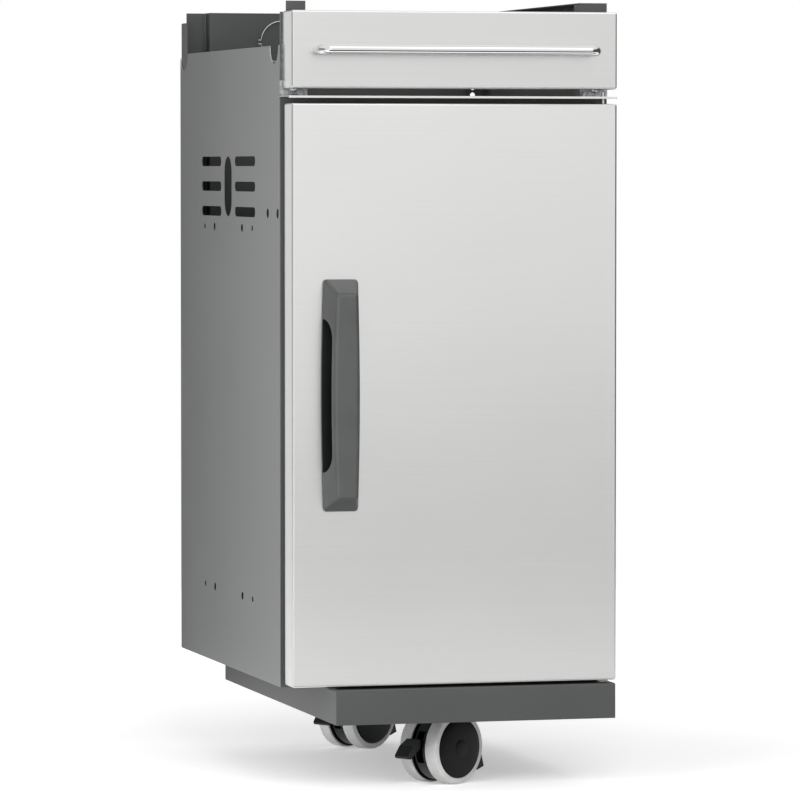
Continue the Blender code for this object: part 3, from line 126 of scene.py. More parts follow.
def brushed_stainless(name, dark, light):
    """304 stainless sheet, ground along its width: a soft sheen with a fine lengthwise grain."""
    made, tree, shader, place = finish(name, Metallic=1.0)
    # The real grain is about 0.2 mm wide; it is drawn at 0.9 mm so that it shows at all
    along = add(tree, "Mapping", {"Vector": place, "Scale": (6.0, 6.0, 1100.0)}).outputs[0]
    grain = add(tree, "TexNoise", {"Vector": along, "Scale": 1.0, "Detail": 3.0}).outputs["Fac"]
    cloud = add(tree, "TexNoise", {"Vector": place, "Scale": 4.0, "Detail": 2.0}).outputs["Fac"]
    both = add(tree, "Math", {0: grain, 1: cloud}, operation="ADD").outputs[0]
    tinted(tree, shader, both, 0.7, 1.3, dark, light)
    polished(tree, shader, grain, 0.3, 0.7, 0.29, 0.32)
    relief(tree, shader, [(grain, 0.0000012)])
    return made


def polished_chrome():
    """Chrome-plated steel rod, polished: mirror-bright, with the faintest waviness."""
    made, tree, shader, place = finish("polished_chrome", Metallic=1.0, Base_Color=linear("dadadb"))
    along = add(tree, "Mapping", {"Vector": place, "Scale": (40.0, 160.0, 160.0)}).outputs[0]
    smear = add(tree, "TexNoise", {"Vector": along, "Scale": 1.0, "Detail": 3.0}).outputs["Fac"]
    polished(tree, shader, smear, 0.35, 0.7, 0.03, 0.07)
    return made


def powder_coat(name, dark, light, roughness):
    """Baked polyester powder on steel: satin, with orange peel of about 1.5 mm."""
    made, tree, shader, place = finish(name, IOR=1.5)
    peel = add(tree, "TexNoise", {"Vector": place, "Scale": 650.0, "Detail": 2.0}).outputs["Fac"]
    cloud = add(tree, "TexNoise", {"Vector": place, "Scale": 6.0, "Detail": 3.0}).outputs["Fac"]
    tinted(tree, shader, cloud, 0.3, 0.7, dark, light)
    polished(tree, shader, cloud, 0.3, 0.7, roughness - 0.02, roughness + 0.02)
    relief(tree, shader, [(peel, 0.000012)])
    return made


def galvanised_sheet():
    """Hot-dipped zinc on steel: a frosty spangle of 3 to 6 mm crystals with dull and bright faces."""
    made, tree, shader, place = finish("galvanised_sheet", Metallic=0.9)
    crystal = add(tree, "TexVoronoi", {"Vector": place, "Scale": 240.0, "Randomness": 1.0},
                  feature="F1").outputs["Color"]
    grey = add(tree, "RGBToBW", {"Color": crystal}).outputs[0]
    frost = add(tree, "TexNoise", {"Vector": place, "Scale": 900.0, "Detail": 4.0}).outputs["Fac"]
    both = add(tree, "Math", {0: grey, 1: frost}, operation="ADD").outputs[0]
    tinted(tree, shader, both, 0.55, 1.45, "85878a", "cacccd")
    polished(tree, shader, both, 0.5, 1.5, 0.52, 0.30)
    relief(tree, shader, [(frost, 0.00002)])
    return made


def zinc_plate():
    """Bright zinc on screws, pins and wire: even and slightly milky."""
    made, tree, shader, place = finish("zinc_plate", Metallic=1.0)
    cloud = add(tree, "TexNoise", {"Vector": place, "Scale": 500.0, "Detail": 3.0}).outputs["Fac"]
    tinted(tree, shader, cloud, 0.3, 0.7, "b8b9ba", "d6d7d8")
    polished(tree, shader, cloud, 0.3, 0.7, 0.22, 0.34)
    return made


def moulded_nylon(name, dark, light, roughness, index):
    """Glass-filled nylon from a spark-eroded mould: an even matt grain of about 0.6 mm."""
    made, tree, shader, place = finish(name, IOR=index)
    spark = add(tree, "TexNoise", {"Vector": place, "Scale": 1500.0, "Detail": 2.0}).outputs["Fac"]
    flow = add(tree, "TexNoise", {"Vector": place, "Scale": 30.0, "Detail": 2.0}).outputs["Fac"]
    tinted(tree, shader, flow, 0.3, 0.7, dark, light)
    polished(tree, shader, spark, 0.3, 0.7, roughness - 0.03, roughness + 0.04)
    relief(tree, shader, [(spark, 0.00001)])
    return made


def soft_rubber(name, dark, light, roughness):
    """Thermoplastic rubber: dull and slightly mottled where it has picked up dust."""
    made, tree, shader, place = finish(name, IOR=1.5)
    dust = add(tree, "TexNoise", {"Vector": place, "Scale": 90.0, "Detail": 4.0}).outputs["Fac"]
    grain = add(tree, "TexNoise", {"Vector": place, "Scale": 2200.0, "Detail": 1.0}).outputs["Fac"]
    tinted(tree, shader, dust, 0.3, 0.7, dark, light)
    polished(tree, shader, dust, 0.3, 0.7, roughness + 0.05, roughness - 0.03)
    relief(tree, shader, [(grain, 0.00001)])
    return made


STAINLESS = brushed_stainless("brushed_stainless", "e4e4e3", "e8e8e7")
# Painted shade: the header's face takes a stainless a shade darker than the door's, so that it renders
# no brighter than the door under these lamps
HEADER_PAINTED_SHADE = brushed_stainless("brushed_stainless_header_painted_shade", "d9d9d8", "dddddc")
CHROME = polished_chrome()
PANEL_COAT = powder_coat("grey_powder_coat", "686969", "6d6e6e", 0.34)
# Painted highlight: a cut top edge and its notches are coloured as a pale line, where the light would
# catch it
PANEL_EDGE_HIGHLIGHT = powder_coat("painted_highlight_panel_edge", "a2a3a3", "acadad", 0.34)
# Painted shade: the walls inside the punched slots and holes are coloured nearly black, as they look in
# shadow
SLOT_WALL_SHADE = powder_coat("painted_shade_slot_wall", "101111", "161717", 0.55)
FRAME_COAT = powder_coat("graphite_powder_coat", "3f4140", "454746", 0.42)
GALVANISED = galvanised_sheet()
ZINC = zinc_plate()
GREY_NYLON = moulded_nylon("grey_moulded_nylon", "3d3f3e", "434544", 0.36, 1.53)
# The black parts take an index below nylon's usual 1.53, because their faces look nearly black
BLACK_NYLON = moulded_nylon("black_moulded_nylon", "0c0d0d", "121313", 0.36, 1.36)
CAP_NYLON = moulded_nylon("black_polished_nylon_cap", "060707", "0a0b0b", 0.30, 1.25)
WHITE_NYLON = moulded_nylon("natural_nylon", "d6d6ce", "dfdfd8", 0.45, 1.53)
TYRE = soft_rubber("grey_tyre_rubber", "c4c4c3", "cececd", 0.50)
BLACK_RUBBER = soft_rubber("black_rubber", "1d1d1d", "262626", 0.65)

# The record's slot names and the finish that each is dressed in
FINISH_OF_SLOT = {
    "grey_paint": PANEL_COAT, "dark_paint": FRAME_COAT, "stainless": STAINLESS, "chrome": CHROME,
    "zinc": GALVANISED, "steel": ZINC, "white_nylon": WHITE_NYLON, "black_rubber": BLACK_RUBBER,
    "tyre_rubber": TYRE, "grey_plastic": GREY_NYLON, "black_plastic": BLACK_NYLON,
}
SLOT_OF = {row["node"]: row["material_slot"] for row in frame["record"]["subparts"]}
BODY_NODES = frame["record"]["behaviour"]["bodies"]
BODY_OF = {node: body for body, nodes in BODY_NODES.items() for node in nodes}


# ---------------------------------------------------------------- mesh helpers

def piece(name, bm, like, look=None, smooth_angle=35.0):
    """A visible piece from a bmesh, on the body and with the slot of the node it is like."""
    mesh = bpy.data.meshes.new(name)
    bm.to_mesh(mesh)
    bm.free()
    mesh.shade_smooth()
    mesh.set_sharp_from_angle(angle=radians(smooth_angle))
    made = bpy.data.objects.new(name, mesh)
    bpy.context.scene.collection.objects.link(made)
    mesh.materials.append(look or FINISH_OF_SLOT[SLOT_OF[like]])
    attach(made, BODY_OF[like])
    return made


def applied(made):
    """Applies the piece's modifiers, with their normals."""
    bpy.context.view_layer.update()
    graph = bpy.context.evaluated_depsgraph_get()
    mesh = bpy.data.meshes.new_from_object(made.evaluated_get(graph))
    made.modifiers.clear()
    made.data = mesh
    return made


def welded(node):
    """A bmesh of the node's solid, with its triangles joined into flat faces."""
    bm = bmesh.new()
    bm.from_mesh(NODES[node].data)
    bmesh.ops.remove_doubles(bm, verts=bm.verts, dist=0.000004)
    bmesh.ops.dissolve_limit(bm, angle_limit=radians(0.4), verts=bm.verts, edges=bm.edges)
    return bm


def soften(made, width, segments=2, angle=30.0):
    """Breaks the sharp edges, as a press, a mould or a deburring wheel leaves them."""
    bevel = made.modifiers.new("broken_edges", "BEVEL")
    bevel.width = width
    bevel.segments = segments
    bevel.limit_method = "ANGLE"
    bevel.angle_limit = radians(angle)
    bevel.use_clamp_overlap = True
    # Keeps the large faces flat, so that only the broken edges catch the light
    flat = made.modifiers.new("flat_faces", "WEIGHTED_NORMAL")
    flat.mode = "FACE_AREA"
    flat.weight = 50
    flat.keep_sharp = True


def dressed(node, width, segments=2, angle=30.0):
    """The node's own shape with broken edges, in the finish of its slot."""
    made = piece(node + "_dressed", welded(node), node)
    soften(made, width, segments, angle)
    applied(made)
    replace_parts(made, node)
    return made


# ---------------------------------------------------------------- sheet metal and mouldings

# Width of the broken edges: laser-cut sheet that is tumbled and coated, the larger side panels, folded
# faces, small blocks, and the casters' mouldings
SHEET_BREAK = 0.00030
SIDE_BREAK = 0.00045
FOLD_BREAK = 0.00025
BLOCK_BREAK = 0.00020
GRIP_BREAK = 0.0006
HOUSING_BREAK = 0.0006
PEDAL_BREAK = 0.0009

for node in ("back_panel", "floor_panel", "upper_cross_rail", "divider_strip", "right_header_bracket",
             "front_caster_channel", "rear_caster_channel"):
    dressed(node, SHEET_BREAK)

# A left post's lip lies beyond this from its outer side, a right post's within this of its inner edge
LEFT_LIP_FROM = 0.0100
RIGHT_LIP_TO = 0.0030


def make_post(node, on_left):
    """A corner post, whose lip is painted lighter on its left face with the panel's paler coat, as
    light from the front-left would show it.
    """
    made = dressed(node, SHEET_BREAK)
    made.data.materials.append(PANEL_COAT)
    low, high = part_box(node)
    for face in made.data.polygons:
        x = face.center.x
        lip = x > low.x + LEFT_LIP_FROM if on_left else x < low.x + RIGHT_LIP_TO
        # Painted light: the lip's left-facing faces take the paler coat
        if lip and face.normal.x < -0.9:
            face.material_index = 1


for end in ("front", "rear"):
    make_post(end + "_left_post", True)
    make_post(end + "_right_post", False)


# A side panel's thickness with a margin, the width of its rim, and the band that its notches lie in
PANEL_SHEET = 0.0013
PANEL_RIM = 0.0015
NOTCH_BAND = 0.0300


def make_side_panel(node, top_is_cut):
    """A side panel, with the walls of its slots and holes painted dark as shade and a painted highlight
    as a pale line on a cut top edge.
    """
    made = dressed(node, SIDE_BREAK)
    made.data.materials.append(PANEL_EDGE_HIGHLIGHT)
    made.data.materials.append(SLOT_WALL_SHADE)
    low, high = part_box(node)
    for face in made.data.polygons:
        x, y, z = face.center
        sheet = x < low.x + PANEL_SHEET if top_is_cut else x > high.x - PANEL_SHEET
        along = low.y + PANEL_RIM < y < high.y - PANEL_RIM
        up = low.z + PANEL_RIM < z < high.z - NOTCH_BAND
        # Painted highlight along the cut top edge and its notches, in a pale coat
        if top_is_cut and abs(face.normal.x) < 0.97 and z > high.z - NOTCH_BAND:
            face.material_index = 1
        # Painted shade: the walls of the slots and holes take the nearly black coat
        elif sheet and along and up and abs(face.normal.x) < 0.9:
            face.material_index = 2


make_side_panel("left_side_panel", True)
make_side_panel("right_side_panel", False)
for node in ("door_skin", "door_liner", "base_plinth"):
    dressed(node, FOLD_BREAK, 2, 50.0)


def make_header():
    """The header, whose face is painted a shade darker than its folded edges."""
    made = dressed("header_panel", FOLD_BREAK, 2, 50.0)
    made.data.materials.append(HEADER_PAINTED_SHADE)
    for face in made.data.polygons:
        if face.normal.y < -0.7:
            face.material_index = 1


# The bracket is relieved up to just inside the header's side, above this height from its lower edge
RELIEF_INSET = 0.0002
RELIEF_FROM = 0.0090


def make_left_bracket():
    """The left bracket, relieved beside the header's return so that only its foot shows past it."""
    bm = welded("left_header_bracket")
    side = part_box("header_panel")[0].x + RELIEF_INSET
    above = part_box("header_panel")[0].z + RELIEF_FROM
    for point, normal in (((side, 0.0, 0.0), (1.0, 0.0, 0.0)), ((0.0, 0.0, above), (0.0, 0.0, 1.0))):
        whole = bm.verts[:] + bm.edges[:] + bm.faces[:]
        bmesh.ops.bisect_plane(bm, geom=whole, dist=1e-6, plane_co=point, plane_no=normal)
    corner = [f for f in bm.faces if f.calc_center_median().x < side - 1e-5
              and f.calc_center_median().z > above + 1e-5]
    bmesh.ops.delete(bm, geom=corner, context="FACES")
    bmesh.ops.holes_fill(bm, edges=[e for e in bm.edges if e.is_boundary], sides=0)
    bmesh.ops.recalc_face_normals(bm, faces=bm.faces)
    made = piece("left_header_bracket_dressed", bm, "left_header_bracket")
    soften(made, FOLD_BREAK)
    applied(made)
    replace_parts(made, "left_header_bracket")


# The grip's side starts inside its box and leans in towards its front by so much over its depth, and
# its recess ends this far from the side of the box, the front, the back and the two ends
GRIP_SIDE_INSET = 0.0026
GRIP_LEAN = 0.0085
GRIP_DEPTH = 0.0337
RECESS_PAST_SIDE = 0.0009
RECESS_TO = 0.0312
RECESS_FROM_FRONT = 0.0070
RECESS_FROM_BACK = 0.0015
RECESS_FROM_ENDS = 0.0400


def make_handle():
    """The grip in grey, with the faces of its finger recess coloured black as painted shade."""
    made = dressed("door_handle", GRIP_BREAK, 3, 40.0)
    made.data.materials.append(BLACK_NYLON)
    low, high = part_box("door_handle")
    for face in made.data.polygons:
        x, y, z = face.center
        lean = low.x + GRIP_SIDE_INSET + GRIP_LEAN * (high.y - y) / GRIP_DEPTH
        across = lean + RECESS_PAST_SIDE < x < low.x + RECESS_TO
        deep = low.y + RECESS_FROM_FRONT < y < high.y - RECESS_FROM_BACK
        along = low.z + RECESS_FROM_ENDS < z < high.z - RECESS_FROM_ENDS
        # Painted shade: the faces inside the recess take the black nylon
        if across and deep and along:
            face.material_index = 1


make_header()
make_left_bracket()
make_handle()
for node in ("upper_pivot_block", "lower_pivot_block", "magnet_catch", "catch_strike_plate",
             "hose_ring_clip", "pivot_washer"):
    dressed(node, BLOCK_BREAK, 2, 50.0)
for end in ("front", "rear"):
    dressed(end + "_caster_housing", HOUSING_BREAK, 2, 50.0)
    dressed(end + "_caster_brake_pedal", PEDAL_BREAK, 3, 35.0)


# ---------------------------------------------------------------- round pieces

def revolved(profile, steps=96):
    """A bmesh turned about +Z from pairs of a radius and a height, from one end to the other."""
    bm = bmesh.new()
    turns = [2 * pi * k / steps for k in range(steps)]
    rings = []
    for radius, height in profile:
        if radius < 1e-7:
            rings.append([bm.verts.new((0.0, 0.0, height))])
            continue
        rings.append([bm.verts.new((radius * cos(t), radius * sin(t), height)) for t in turns])
    for lower, upper in zip(rings, rings[1:]):
        for k in range(steps):
            n = (k + 1) % steps
            corners = [lower[k % len(lower)], lower[n % len(lower)],
                       upper[n % len(upper)], upper[k % len(upper)]]
            distinct = list(dict.fromkeys(corners))
            if len(distinct) > 2:
                bm.faces.new(distinct)
    return bm


def rounded(corner, radius, start, stop, steps=8):
    """Points on a quarter-like bend of a profile about corner, from start to stop degrees."""
    turns = [radians(start + (stop - start) * k / steps) for k in range(steps + 1)]
    return [(corner[0] + radius * cos(t), corner[1] + radius * sin(t)) for t in turns]


def tube(points, radius, sides=24):
    """A bmesh of a rod bent through the points, with flat ends."""
    bm = bmesh.new()
    rings = []
    points = [Vector(p) for p in points]
    side = None
    for k, point in enumerate(points):
        ahead = points[min(k + 1, len(points) - 1)] - points[max(k - 1, 0)]
        ahead.normalize()
        if side is None:
            side = ahead.orthogonal().normalized()
        side = (side - ahead * side.dot(ahead)).normalized()
        other = ahead.cross(side)
        ring = []
        for j in range(sides):
            turn = 2 * pi * j / sides
            ring.append(bm.verts.new(point + radius * (cos(turn) * side + sin(turn) * other)))
        rings.append(ring)
    for lower, upper in zip(rings, rings[1:]):
        for j in range(sides):
            n = (j + 1) % sides
            bm.faces.new((lower[j], lower[n], upper[n], upper[j]))
    bm.faces.new(list(reversed(rings[0])))
    bm.faces.new(rings[-1])
    return bm


# Casters: the swivel's place, how far each is turned, and the wheels' sizes
CASTERS = {"front": ((0.0271, -0.142), radians(33.0)), "rear": ((0.0248, 0.232), radians(34.5))}
TRAIL = 0.0165
WHEEL_RADIUS = 0.041
WHEEL_WIDTH = 0.0188
WHEEL_FROM_MIDDLE = 0.0092
CAP_RADIUS = 0.0335
CAP_DOME = 0.0022
CAP_DISC_RADIUS = 0.0092
CAP_DISC_RISE = 0.0006
HUB_FLANGE_RADIUS = 0.0393
HUB_FLANGE_WIDTH = 0.0016
# The hub's bore from its inner side, and the shallow ring around the bore's mouth
BORE_RADIUS = 0.0033
BORE_DEPTH = 0.0140
MOUTH_RADIUS = 0.0058
MOUTH_DEPTH = 0.0006
# Broken edges of the tyre and the hub: the tyre's inner corner and shoulder, the cap's rim, its disc
TYRE_CORNER = 0.0013
TYRE_SHOULDER = 0.0020
CAP_CORNER = 0.0012
DISC_CORNER = 0.0005
FLANGE_BREAK = 0.0004


def wheel_matrix(end, way):
    """Places a wheel that is turned about +Z from its inner side; way is 1 for the left one."""
    (x, y), turn = CASTERS[end]
    stand = Matrix.Translation((x, y, 0.0)) @ Matrix.Rotation(turn, 4, "Z")
    stand = stand @ Matrix.Translation((-TRAIL, way * WHEEL_FROM_MIDDLE, WHEEL_RADIUS))
    return stand @ Matrix.Rotation(radians(-90.0 * way), 4, "X")


def make_wheel(end, side, way):
    place = wheel_matrix(end, way)
    name = f"{end}_caster_{side}_"
    face = WHEEL_WIDTH
    tread = WHEEL_RADIUS - 0.00002
    inner = HUB_FLANGE_WIDTH + 0.0004
    profile = [(CAP_RADIUS + 0.0005, inner)]
    profile += rounded((tread - TYRE_CORNER, inner + TYRE_CORNER), TYRE_CORNER, -90, 0, 5)
    # The tread is a little crowned and turns over a tight shoulder into a side that leans in
    profile += [(tread, 0.0075), (tread - 0.0002, face - 0.0050), (tread - 0.0005, face - 0.0034)]
    profile += rounded((tread - 0.0025, face - 0.0030), TYRE_SHOULDER, 10, 76, 7)
    profile += [(CAP_RADIUS + 0.0012, face - 0.0002), (CAP_RADIUS + 0.0005, face - 0.0008),
                (CAP_RADIUS + 0.0005, inner)]
    bm = revolved(profile, 128)
    bm.transform(place)
    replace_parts(piece(name + "tyre_tread", bm, name + "tyre"), name + "tyre")

    disc = face + CAP_DOME + CAP_DISC_RISE
    profile = [(0.0, disc)]
    profile += rounded((CAP_DISC_RADIUS - DISC_CORNER, disc - DISC_CORNER), DISC_CORNER, 90, 0, 4)
    start = CAP_DISC_RADIUS + 0.0002
    for k in range(15):
        radius = start + (CAP_RADIUS - CAP_CORNER - start) * k / 14
        bulge = (1.0 - (radius / CAP_RADIUS) ** 2) ** 0.5
        profile.append((radius, face + CAP_DOME * bulge))
    profile += rounded((CAP_RADIUS - CAP_CORNER, face - 0.0006), CAP_CORNER, 80, 0, 6)
    profile += [(CAP_RADIUS, HUB_FLANGE_WIDTH), (HUB_FLANGE_RADIUS - FLANGE_BREAK, HUB_FLANGE_WIDTH),
                (HUB_FLANGE_RADIUS, HUB_FLANGE_WIDTH - FLANGE_BREAK), (HUB_FLANGE_RADIUS, FLANGE_BREAK),
                (HUB_FLANGE_RADIUS - FLANGE_BREAK, 0.0), (MOUTH_RADIUS + 0.0002, 0.0),
                (MOUTH_RADIUS, MOUTH_DEPTH), (BORE_RADIUS, MOUTH_DEPTH), (BORE_RADIUS, BORE_DEPTH),
                (0.0, BORE_DEPTH)]
    bm = revolved(profile, 96)
    bm.transform(place)
    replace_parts(piece(name + "hub_cap", bm, name + "hub", CAP_NYLON, 40.0), name + "hub")


for end in ("front", "rear"):
    make_wheel(end, "left", 1)
    make_wheel(end, "right", -1)


# Towel bar: a bent rod with its legs behind it
BAR_LEFT_X = -0.1555
BAR_RIGHT_X = 0.1575
BAR_FRONT_Y = -0.279
BAR_FOOT_Y = -0.2563
BAR_Z = 0.822
BAR_RADIUS = 0.0057
BAR_BEND = 0.0095


def make_towel_bar():
    centre_y = BAR_FRONT_Y + BAR_BEND
    path = [(BAR_LEFT_X, BAR_FOOT_Y)]
    path += rounded((BAR_LEFT_X + BAR_BEND, centre_y), BAR_BEND, 180, 270, 16)
    path += rounded((BAR_RIGHT_X - BAR_BEND, centre_y), BAR_BEND, 270, 360, 16)
    path.append((BAR_RIGHT_X, BAR_FOOT_Y))
    points = [(x, y, BAR_Z) for x, y in path]
    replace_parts(piece("towel_bar_rod", tube(points, BAR_RADIUS, 48), "towel_bar"), "towel_bar")


# Hose ring: an open loop of thin wire with two short tails
RING_X = -0.073
RING_Y = 0.255
RING_Z = 0.8425
RING_RADIUS = 0.0248
RING_WIRE = 0.0008
RING_TAIL = 0.0035
RING_MOUTH = 0.0022 / RING_RADIUS


def make_hose_ring():
    turns = [pi - RING_MOUTH - (2 * pi - 2 * RING_MOUTH) * k / 72 for k in range(73)]
    loop = [(RING_X + RING_RADIUS * cos(t), RING_Y, RING_Z + RING_RADIUS * sin(t)) for t in turns]
    points = [(loop[0][0] - RING_TAIL, RING_Y, loop[0][2])] + loop
    points.append((loop[-1][0] - RING_TAIL, RING_Y, loop[-1][2]))
    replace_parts(piece("hose_ring_wire", tube(points, RING_WIRE, 12), "hose_ring"), "hose_ring")


make_towel_bar()
make_hose_ring()


# Pan-head screws with a cross recess, each where the model's plain one is

HEAD_RADIUS = 0.0046
HEAD_HEIGHT = 0.0026
SHANK_RADIUS = 0.0021
# The head's nearly flat middle and how far it falls, and how far the head falls from there to its rim
CROWN_RADIUS = 0.0030
CROWN_FALL = 0.00035
RIM_FALL = 0.0013
TIP_BREAK = 0.0008
CROSS_ARM = 0.0024
CROSS_BLADE = 0.00065
CROSS_DEEP = 0.0016
CROSS_TURN = radians(20.0)
# The cross narrows to this share at its bottom
CROSS_TAPER = 0.35


def make_screw(node):
    """The head is at the end of the node where its corners lie farthest from the axis."""
    points = [v.co for v in NODES[node].data.vertices]
    low = Vector([min(p[k] for p in points) for k in range(3)])
    high = Vector([max(p[k] for p in points) for k in range(3)])
    x, z = (low.x + high.x) / 2, (low.z + high.z) / 2
    wide = [p.y for p in points if (p.x - x) ** 2 + (p.z - z) ** 2 > (0.9 * HEAD_RADIUS) ** 2]
    forward = abs(min(wide) - low.y) < abs(max(wide) - high.y)
    head_y, end_y = (low.y, high.y) if forward else (high.y, low.y)
    way = 1.0 if forward else -1.0
    length = abs(end_y - head_y)
    profile = [(0.0, 0.0)]
    profile += [(CROWN_RADIUS * k / 4, CROWN_FALL * (k / 4) ** 2) for k in range(1, 5)]
    profile += [(CROWN_RADIUS + (HEAD_RADIUS - CROWN_RADIUS) * sin(radians(t)),
                 CROWN_FALL + RIM_FALL * (1 - cos(radians(t)))) for t in range(18, 91, 12)]
    profile += [(HEAD_RADIUS, HEAD_HEIGHT - 0.0002), (HEAD_RADIUS - 0.0002, HEAD_HEIGHT),
                (SHANK_RADIUS, HEAD_HEIGHT), (SHANK_RADIUS, length - TIP_BREAK),
                (SHANK_RADIUS - TIP_BREAK, length), (0.0, length)]
    bm = revolved(profile, 48)
    place = Matrix.Translation((x, head_y, z)) @ Matrix.Rotation(radians(-90.0 * way), 4, "X")
    place = place @ Matrix.Rotation(CROSS_TURN, 4, "Z")
    bm.transform(place)
    made = piece(node + "_pan_head", bm, node)
    slots = bmesh.new()
    for size in ((CROSS_ARM, CROSS_BLADE), (CROSS_BLADE, CROSS_ARM)):
        cube = bmesh.ops.create_cube(slots, size=2.0)["verts"]
        bmesh.ops.scale(slots, verts=cube, vec=(size[0], size[1], CROSS_DEEP))
    for vert in slots.verts:
        if vert.co.z > 0.0:
            vert.co.x *= CROSS_TAPER
            vert.co.y *= CROSS_TAPER
    slots.transform(place)
    mesh = bpy.data.meshes.new(node + "_recess")
    slots.to_mesh(mesh)
    slots.free()
    cutter = bpy.data.objects.new(node + "_recess", mesh)
    bpy.context.scene.collection.objects.link(cutter)
    recess = made.modifiers.new("cross_recess", "BOOLEAN")
    recess.operation = "DIFFERENCE"
    recess.solver = "EXACT"
    recess.use_self = True
    recess.object = cutter
    applied(made)
    made.data.shade_smooth()
    made.data.set_sharp_from_angle(angle=radians(35.0))
    bpy.data.objects.remove(cutter, do_unlink=True)
    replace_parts(made, node)


for node in ("left_bracket_screw", "right_bracket_screw", "handle_screw_lower", "handle_screw_upper",
             "towel_bar_screw_left", "towel_bar_screw_right"):
    make_screw(node)

for node, made in NODES.items():
    for slot in made.material_slots:
        slot.material = FINISH_OF_SLOT[SLOT_OF[node]]


# ---------------------------------------------------------------- stage, light and camera

def white_to_sight(tree):
    """1 for camera, mirror and glass rays, which see the white backdrop, and 0 for light."""
    path = add(tree, "LightPath")
    seen = path.outputs["Is Camera Ray"]
    for other in ("Is Glossy Ray", "Is Transmission Ray"):
        seen = add(tree, "Math", {0: seen, 1: path.outputs[other]}, operation="MAXIMUM").outputs[0]
    return seen


# How far the floor runs, how pale its paper is, and how much glow it has that shadows can't take, near
# the object and far from it, with the distances at which that starts and stops growing. The weaker glow
# near the object is painted shade around it.
FLOOR_RADIUS = 2.6
FLOOR_COLOUR = "f8f8f8"
FLOOR_LIFT = (0.37, 0.62)
FLOOR_LIFT_FROM = (0.45, 1.30)
WORLD_LIGHT = 0.50


def make_floor():
    bm = bmesh.new()
    bmesh.ops.create_circle(bm, cap_ends=True, segments=96, radius=FLOOR_RADIUS)
    mesh = bpy.data.meshes.new("studio_floor")
    bm.to_mesh(mesh)
    bm.free()
    floor = bpy.data.objects.new("studio_floor", mesh)
    bpy.context.scene.collection.objects.link(floor)
    made = bpy.data.materials.new("white_studio_paper")
    made.use_nodes = True
    tree = made.node_tree
    tree.nodes.clear()
    paper = add(tree, "BsdfDiffuse", {"Color": linear(FLOOR_COLOUR)}).outputs[0]
    place = add(tree, "TexCoord").outputs["Object"]
    away = add(tree, "VectorMath", {0: place}, operation="LENGTH").outputs["Value"]
    span = {"Value": away, "From Min": FLOOR_LIFT_FROM[0], "From Max": FLOOR_LIFT_FROM[1],
            "To Min": FLOOR_LIFT[0], "To Max": FLOOR_LIFT[1]}
    # Painted shade: the floor's glow is weaker near the object
    glow = add(tree, "MapRange", span).outputs[0]
    lift = add(tree, "Emission", {"Color": (1.0, 1.0, 1.0, 1.0), "Strength": glow}).outputs[0]
    bright = add(tree, "AddShader", {0: paper, 1: lift}).outputs[0]
    seen = add(tree, "MixShader", {0: white_to_sight(tree), 1: paper, 2: bright}).outputs[0]
    add(tree, "OutputMaterial", {"Surface": seen})
    mesh.materials.append(made)


def card(name, corners, strength):
    """A studio card that only shiny surfaces see. A weak one draws dark lines in metal."""
    mesh = bpy.data.meshes.new(name)
    mesh.from_pydata(corners, [], [(0, 1, 2, 3)])
    made = bpy.data.objects.new(name, mesh)
    bpy.context.scene.collection.objects.link(made)
    look = bpy.data.materials.new(name + "_paper")
    look.use_nodes = True
    tree = look.node_tree
    tree.nodes.clear()
    white = (1.0, 1.0, 1.0, 1.0)
    glow = add(tree, "Emission", {"Color": white, "Strength": strength}).outputs[0]
    add(tree, "OutputMaterial", {"Surface": glow})
    mesh.materials.append(look)
    made.visible_camera = False
    made.visible_diffuse = False
    made.visible_shadow = False
    made.visible_transmission = False


def make_world():
    world = bpy.data.worlds.new("white_studio")
    bpy.context.scene.world = world
    world.use_nodes = True
    tree = world.node_tree
    tree.nodes.clear()
    light = add(tree, "Background", {"Color": (1.0, 1.0, 1.0, 1.0), "Strength": WORLD_LIGHT}).outputs[0]
    white = add(tree, "Background", {"Color": (1.0, 1.0, 1.0, 1.0), "Strength": 1.0}).outputs[0]
    both = add(tree, "MixShader", {0: white_to_sight(tree), 1: light, 2: white}).outputs[0]
    add(tree, "OutputWorld", {"Surface": both})


def softbox(name, place, target, size, power, beam=180.0):
    """A soft lamp that metal doesn't mirror, at place, facing target. beam is its angle in degrees."""
    data = bpy.data.lights.new(name, "AREA")
    data.shape = "RECTANGLE"
    data.size, data.size_y = size
    data.energy = power
    data.spread = radians(beam)
    made = bpy.data.objects.new(name, data)
    made.visible_glossy = False
    made.location = place
    made.rotation_euler = (Vector(target) - Vector(place)).to_track_quat("-Z", "Y").to_euler()
    bpy.context.scene.collection.objects.link(made)


def make_camera():
    data = bpy.data.cameras.new("photograph_camera")
    data.sensor_width = CAMERA_SENSOR
    data.lens = CAMERA_LENS
    data.clip_end = 60.0
    camera = bpy.data.objects.new("photograph_camera", data)
    camera.location = CAMERA_PLACE
    camera.rotation_euler = (CAMERA_TILT, 0.0, CAMERA_TURN)
    bpy.context.scene.collection.objects.link(camera)
    bpy.context.scene.camera = camera


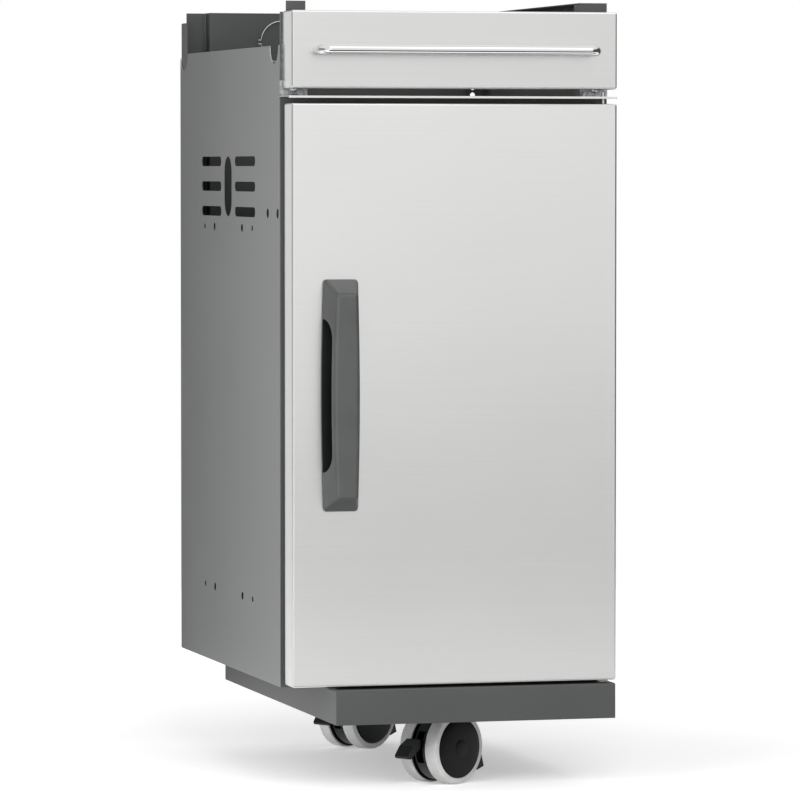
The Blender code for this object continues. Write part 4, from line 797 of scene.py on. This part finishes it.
# Lamps: name, place, the point they face, width and height, watts, and the angle of a narrow beam
LAMPS = [
    ("key_softbox", (-0.80, -1.00, 0.60), (-0.19, -0.20, 0.45), (0.6, 0.6), 7.5),
    ("front_softbox", (-0.2, -3.2, 1.9), (0.0, -0.1, 0.3), (1.6, 1.2), 50.0),
    ("low_softbox", (-0.4, -2.3, 0.16), (0.0, 0.0, 0.06), (1.2, 0.22), 4.5),
    ("rear_caster_softbox", (-0.90, -0.60, 0.05), (0.0, 0.23, 0.03), (0.2, 0.06), 0.05, 14.0),
    ("back_softbox", (0.5, 2.8, 2.3), (0.0, 0.1, 0.5), (1.6, 1.2), 7.0),
]

# Cards: name, its four corners in order, and how bright it is
CARDS = [
    ("back_card", (-0.44, 0.95, 0.0), (2.5, 0.95, 0.0), (2.5, 0.95, 1.8), (-0.44, 0.95, 1.8), 0.06),
    ("left_card", (-2.6, -2.2, 0.0), (-2.6, 1.2, 0.0), (-2.6, 1.2, 2.0), (-2.6, -2.2, 2.0), 0.35),
    ("right_card", (2.4, -3.6, 0.0), (2.4, 2.5, 0.0), (2.4, 2.5, 2.2), (2.4, -3.6, 2.2), 0.10),
    ("floor_card", (-0.6, -3.5, 0.004), (2.6, -3.5, 0.004), (2.6, -1.3, 0.004), (-0.6, -1.3, 0.004),
     0.03),
    ("near_card", (-1.0, -0.75, 0.004), (1.4, -0.75, 0.004), (1.4, -0.3, 0.004), (-1.0, -0.3, 0.004),
     0.35),
    ("high_card", (-0.4, -2.4, 2.1), (1.5, -2.4, 2.1), (1.5, -1.2, 3.0), (-0.4, -1.2, 3.0), 1.9),
    ("left_bright_card", (-2.4, -6.6, 0.3), (0.7, -6.6, 0.3), (0.7, -6.6, 3.2), (-2.4, -6.6, 3.2), 1.4),
]

make_camera()
make_floor()
make_world()
for lamp in LAMPS:
    softbox(*lamp)
for name, *corners, strength in CARDS:
    card(name, corners, strength)
bpy.context.scene.view_settings.view_transform = "Standard"

bpy.context.view_layer.update()
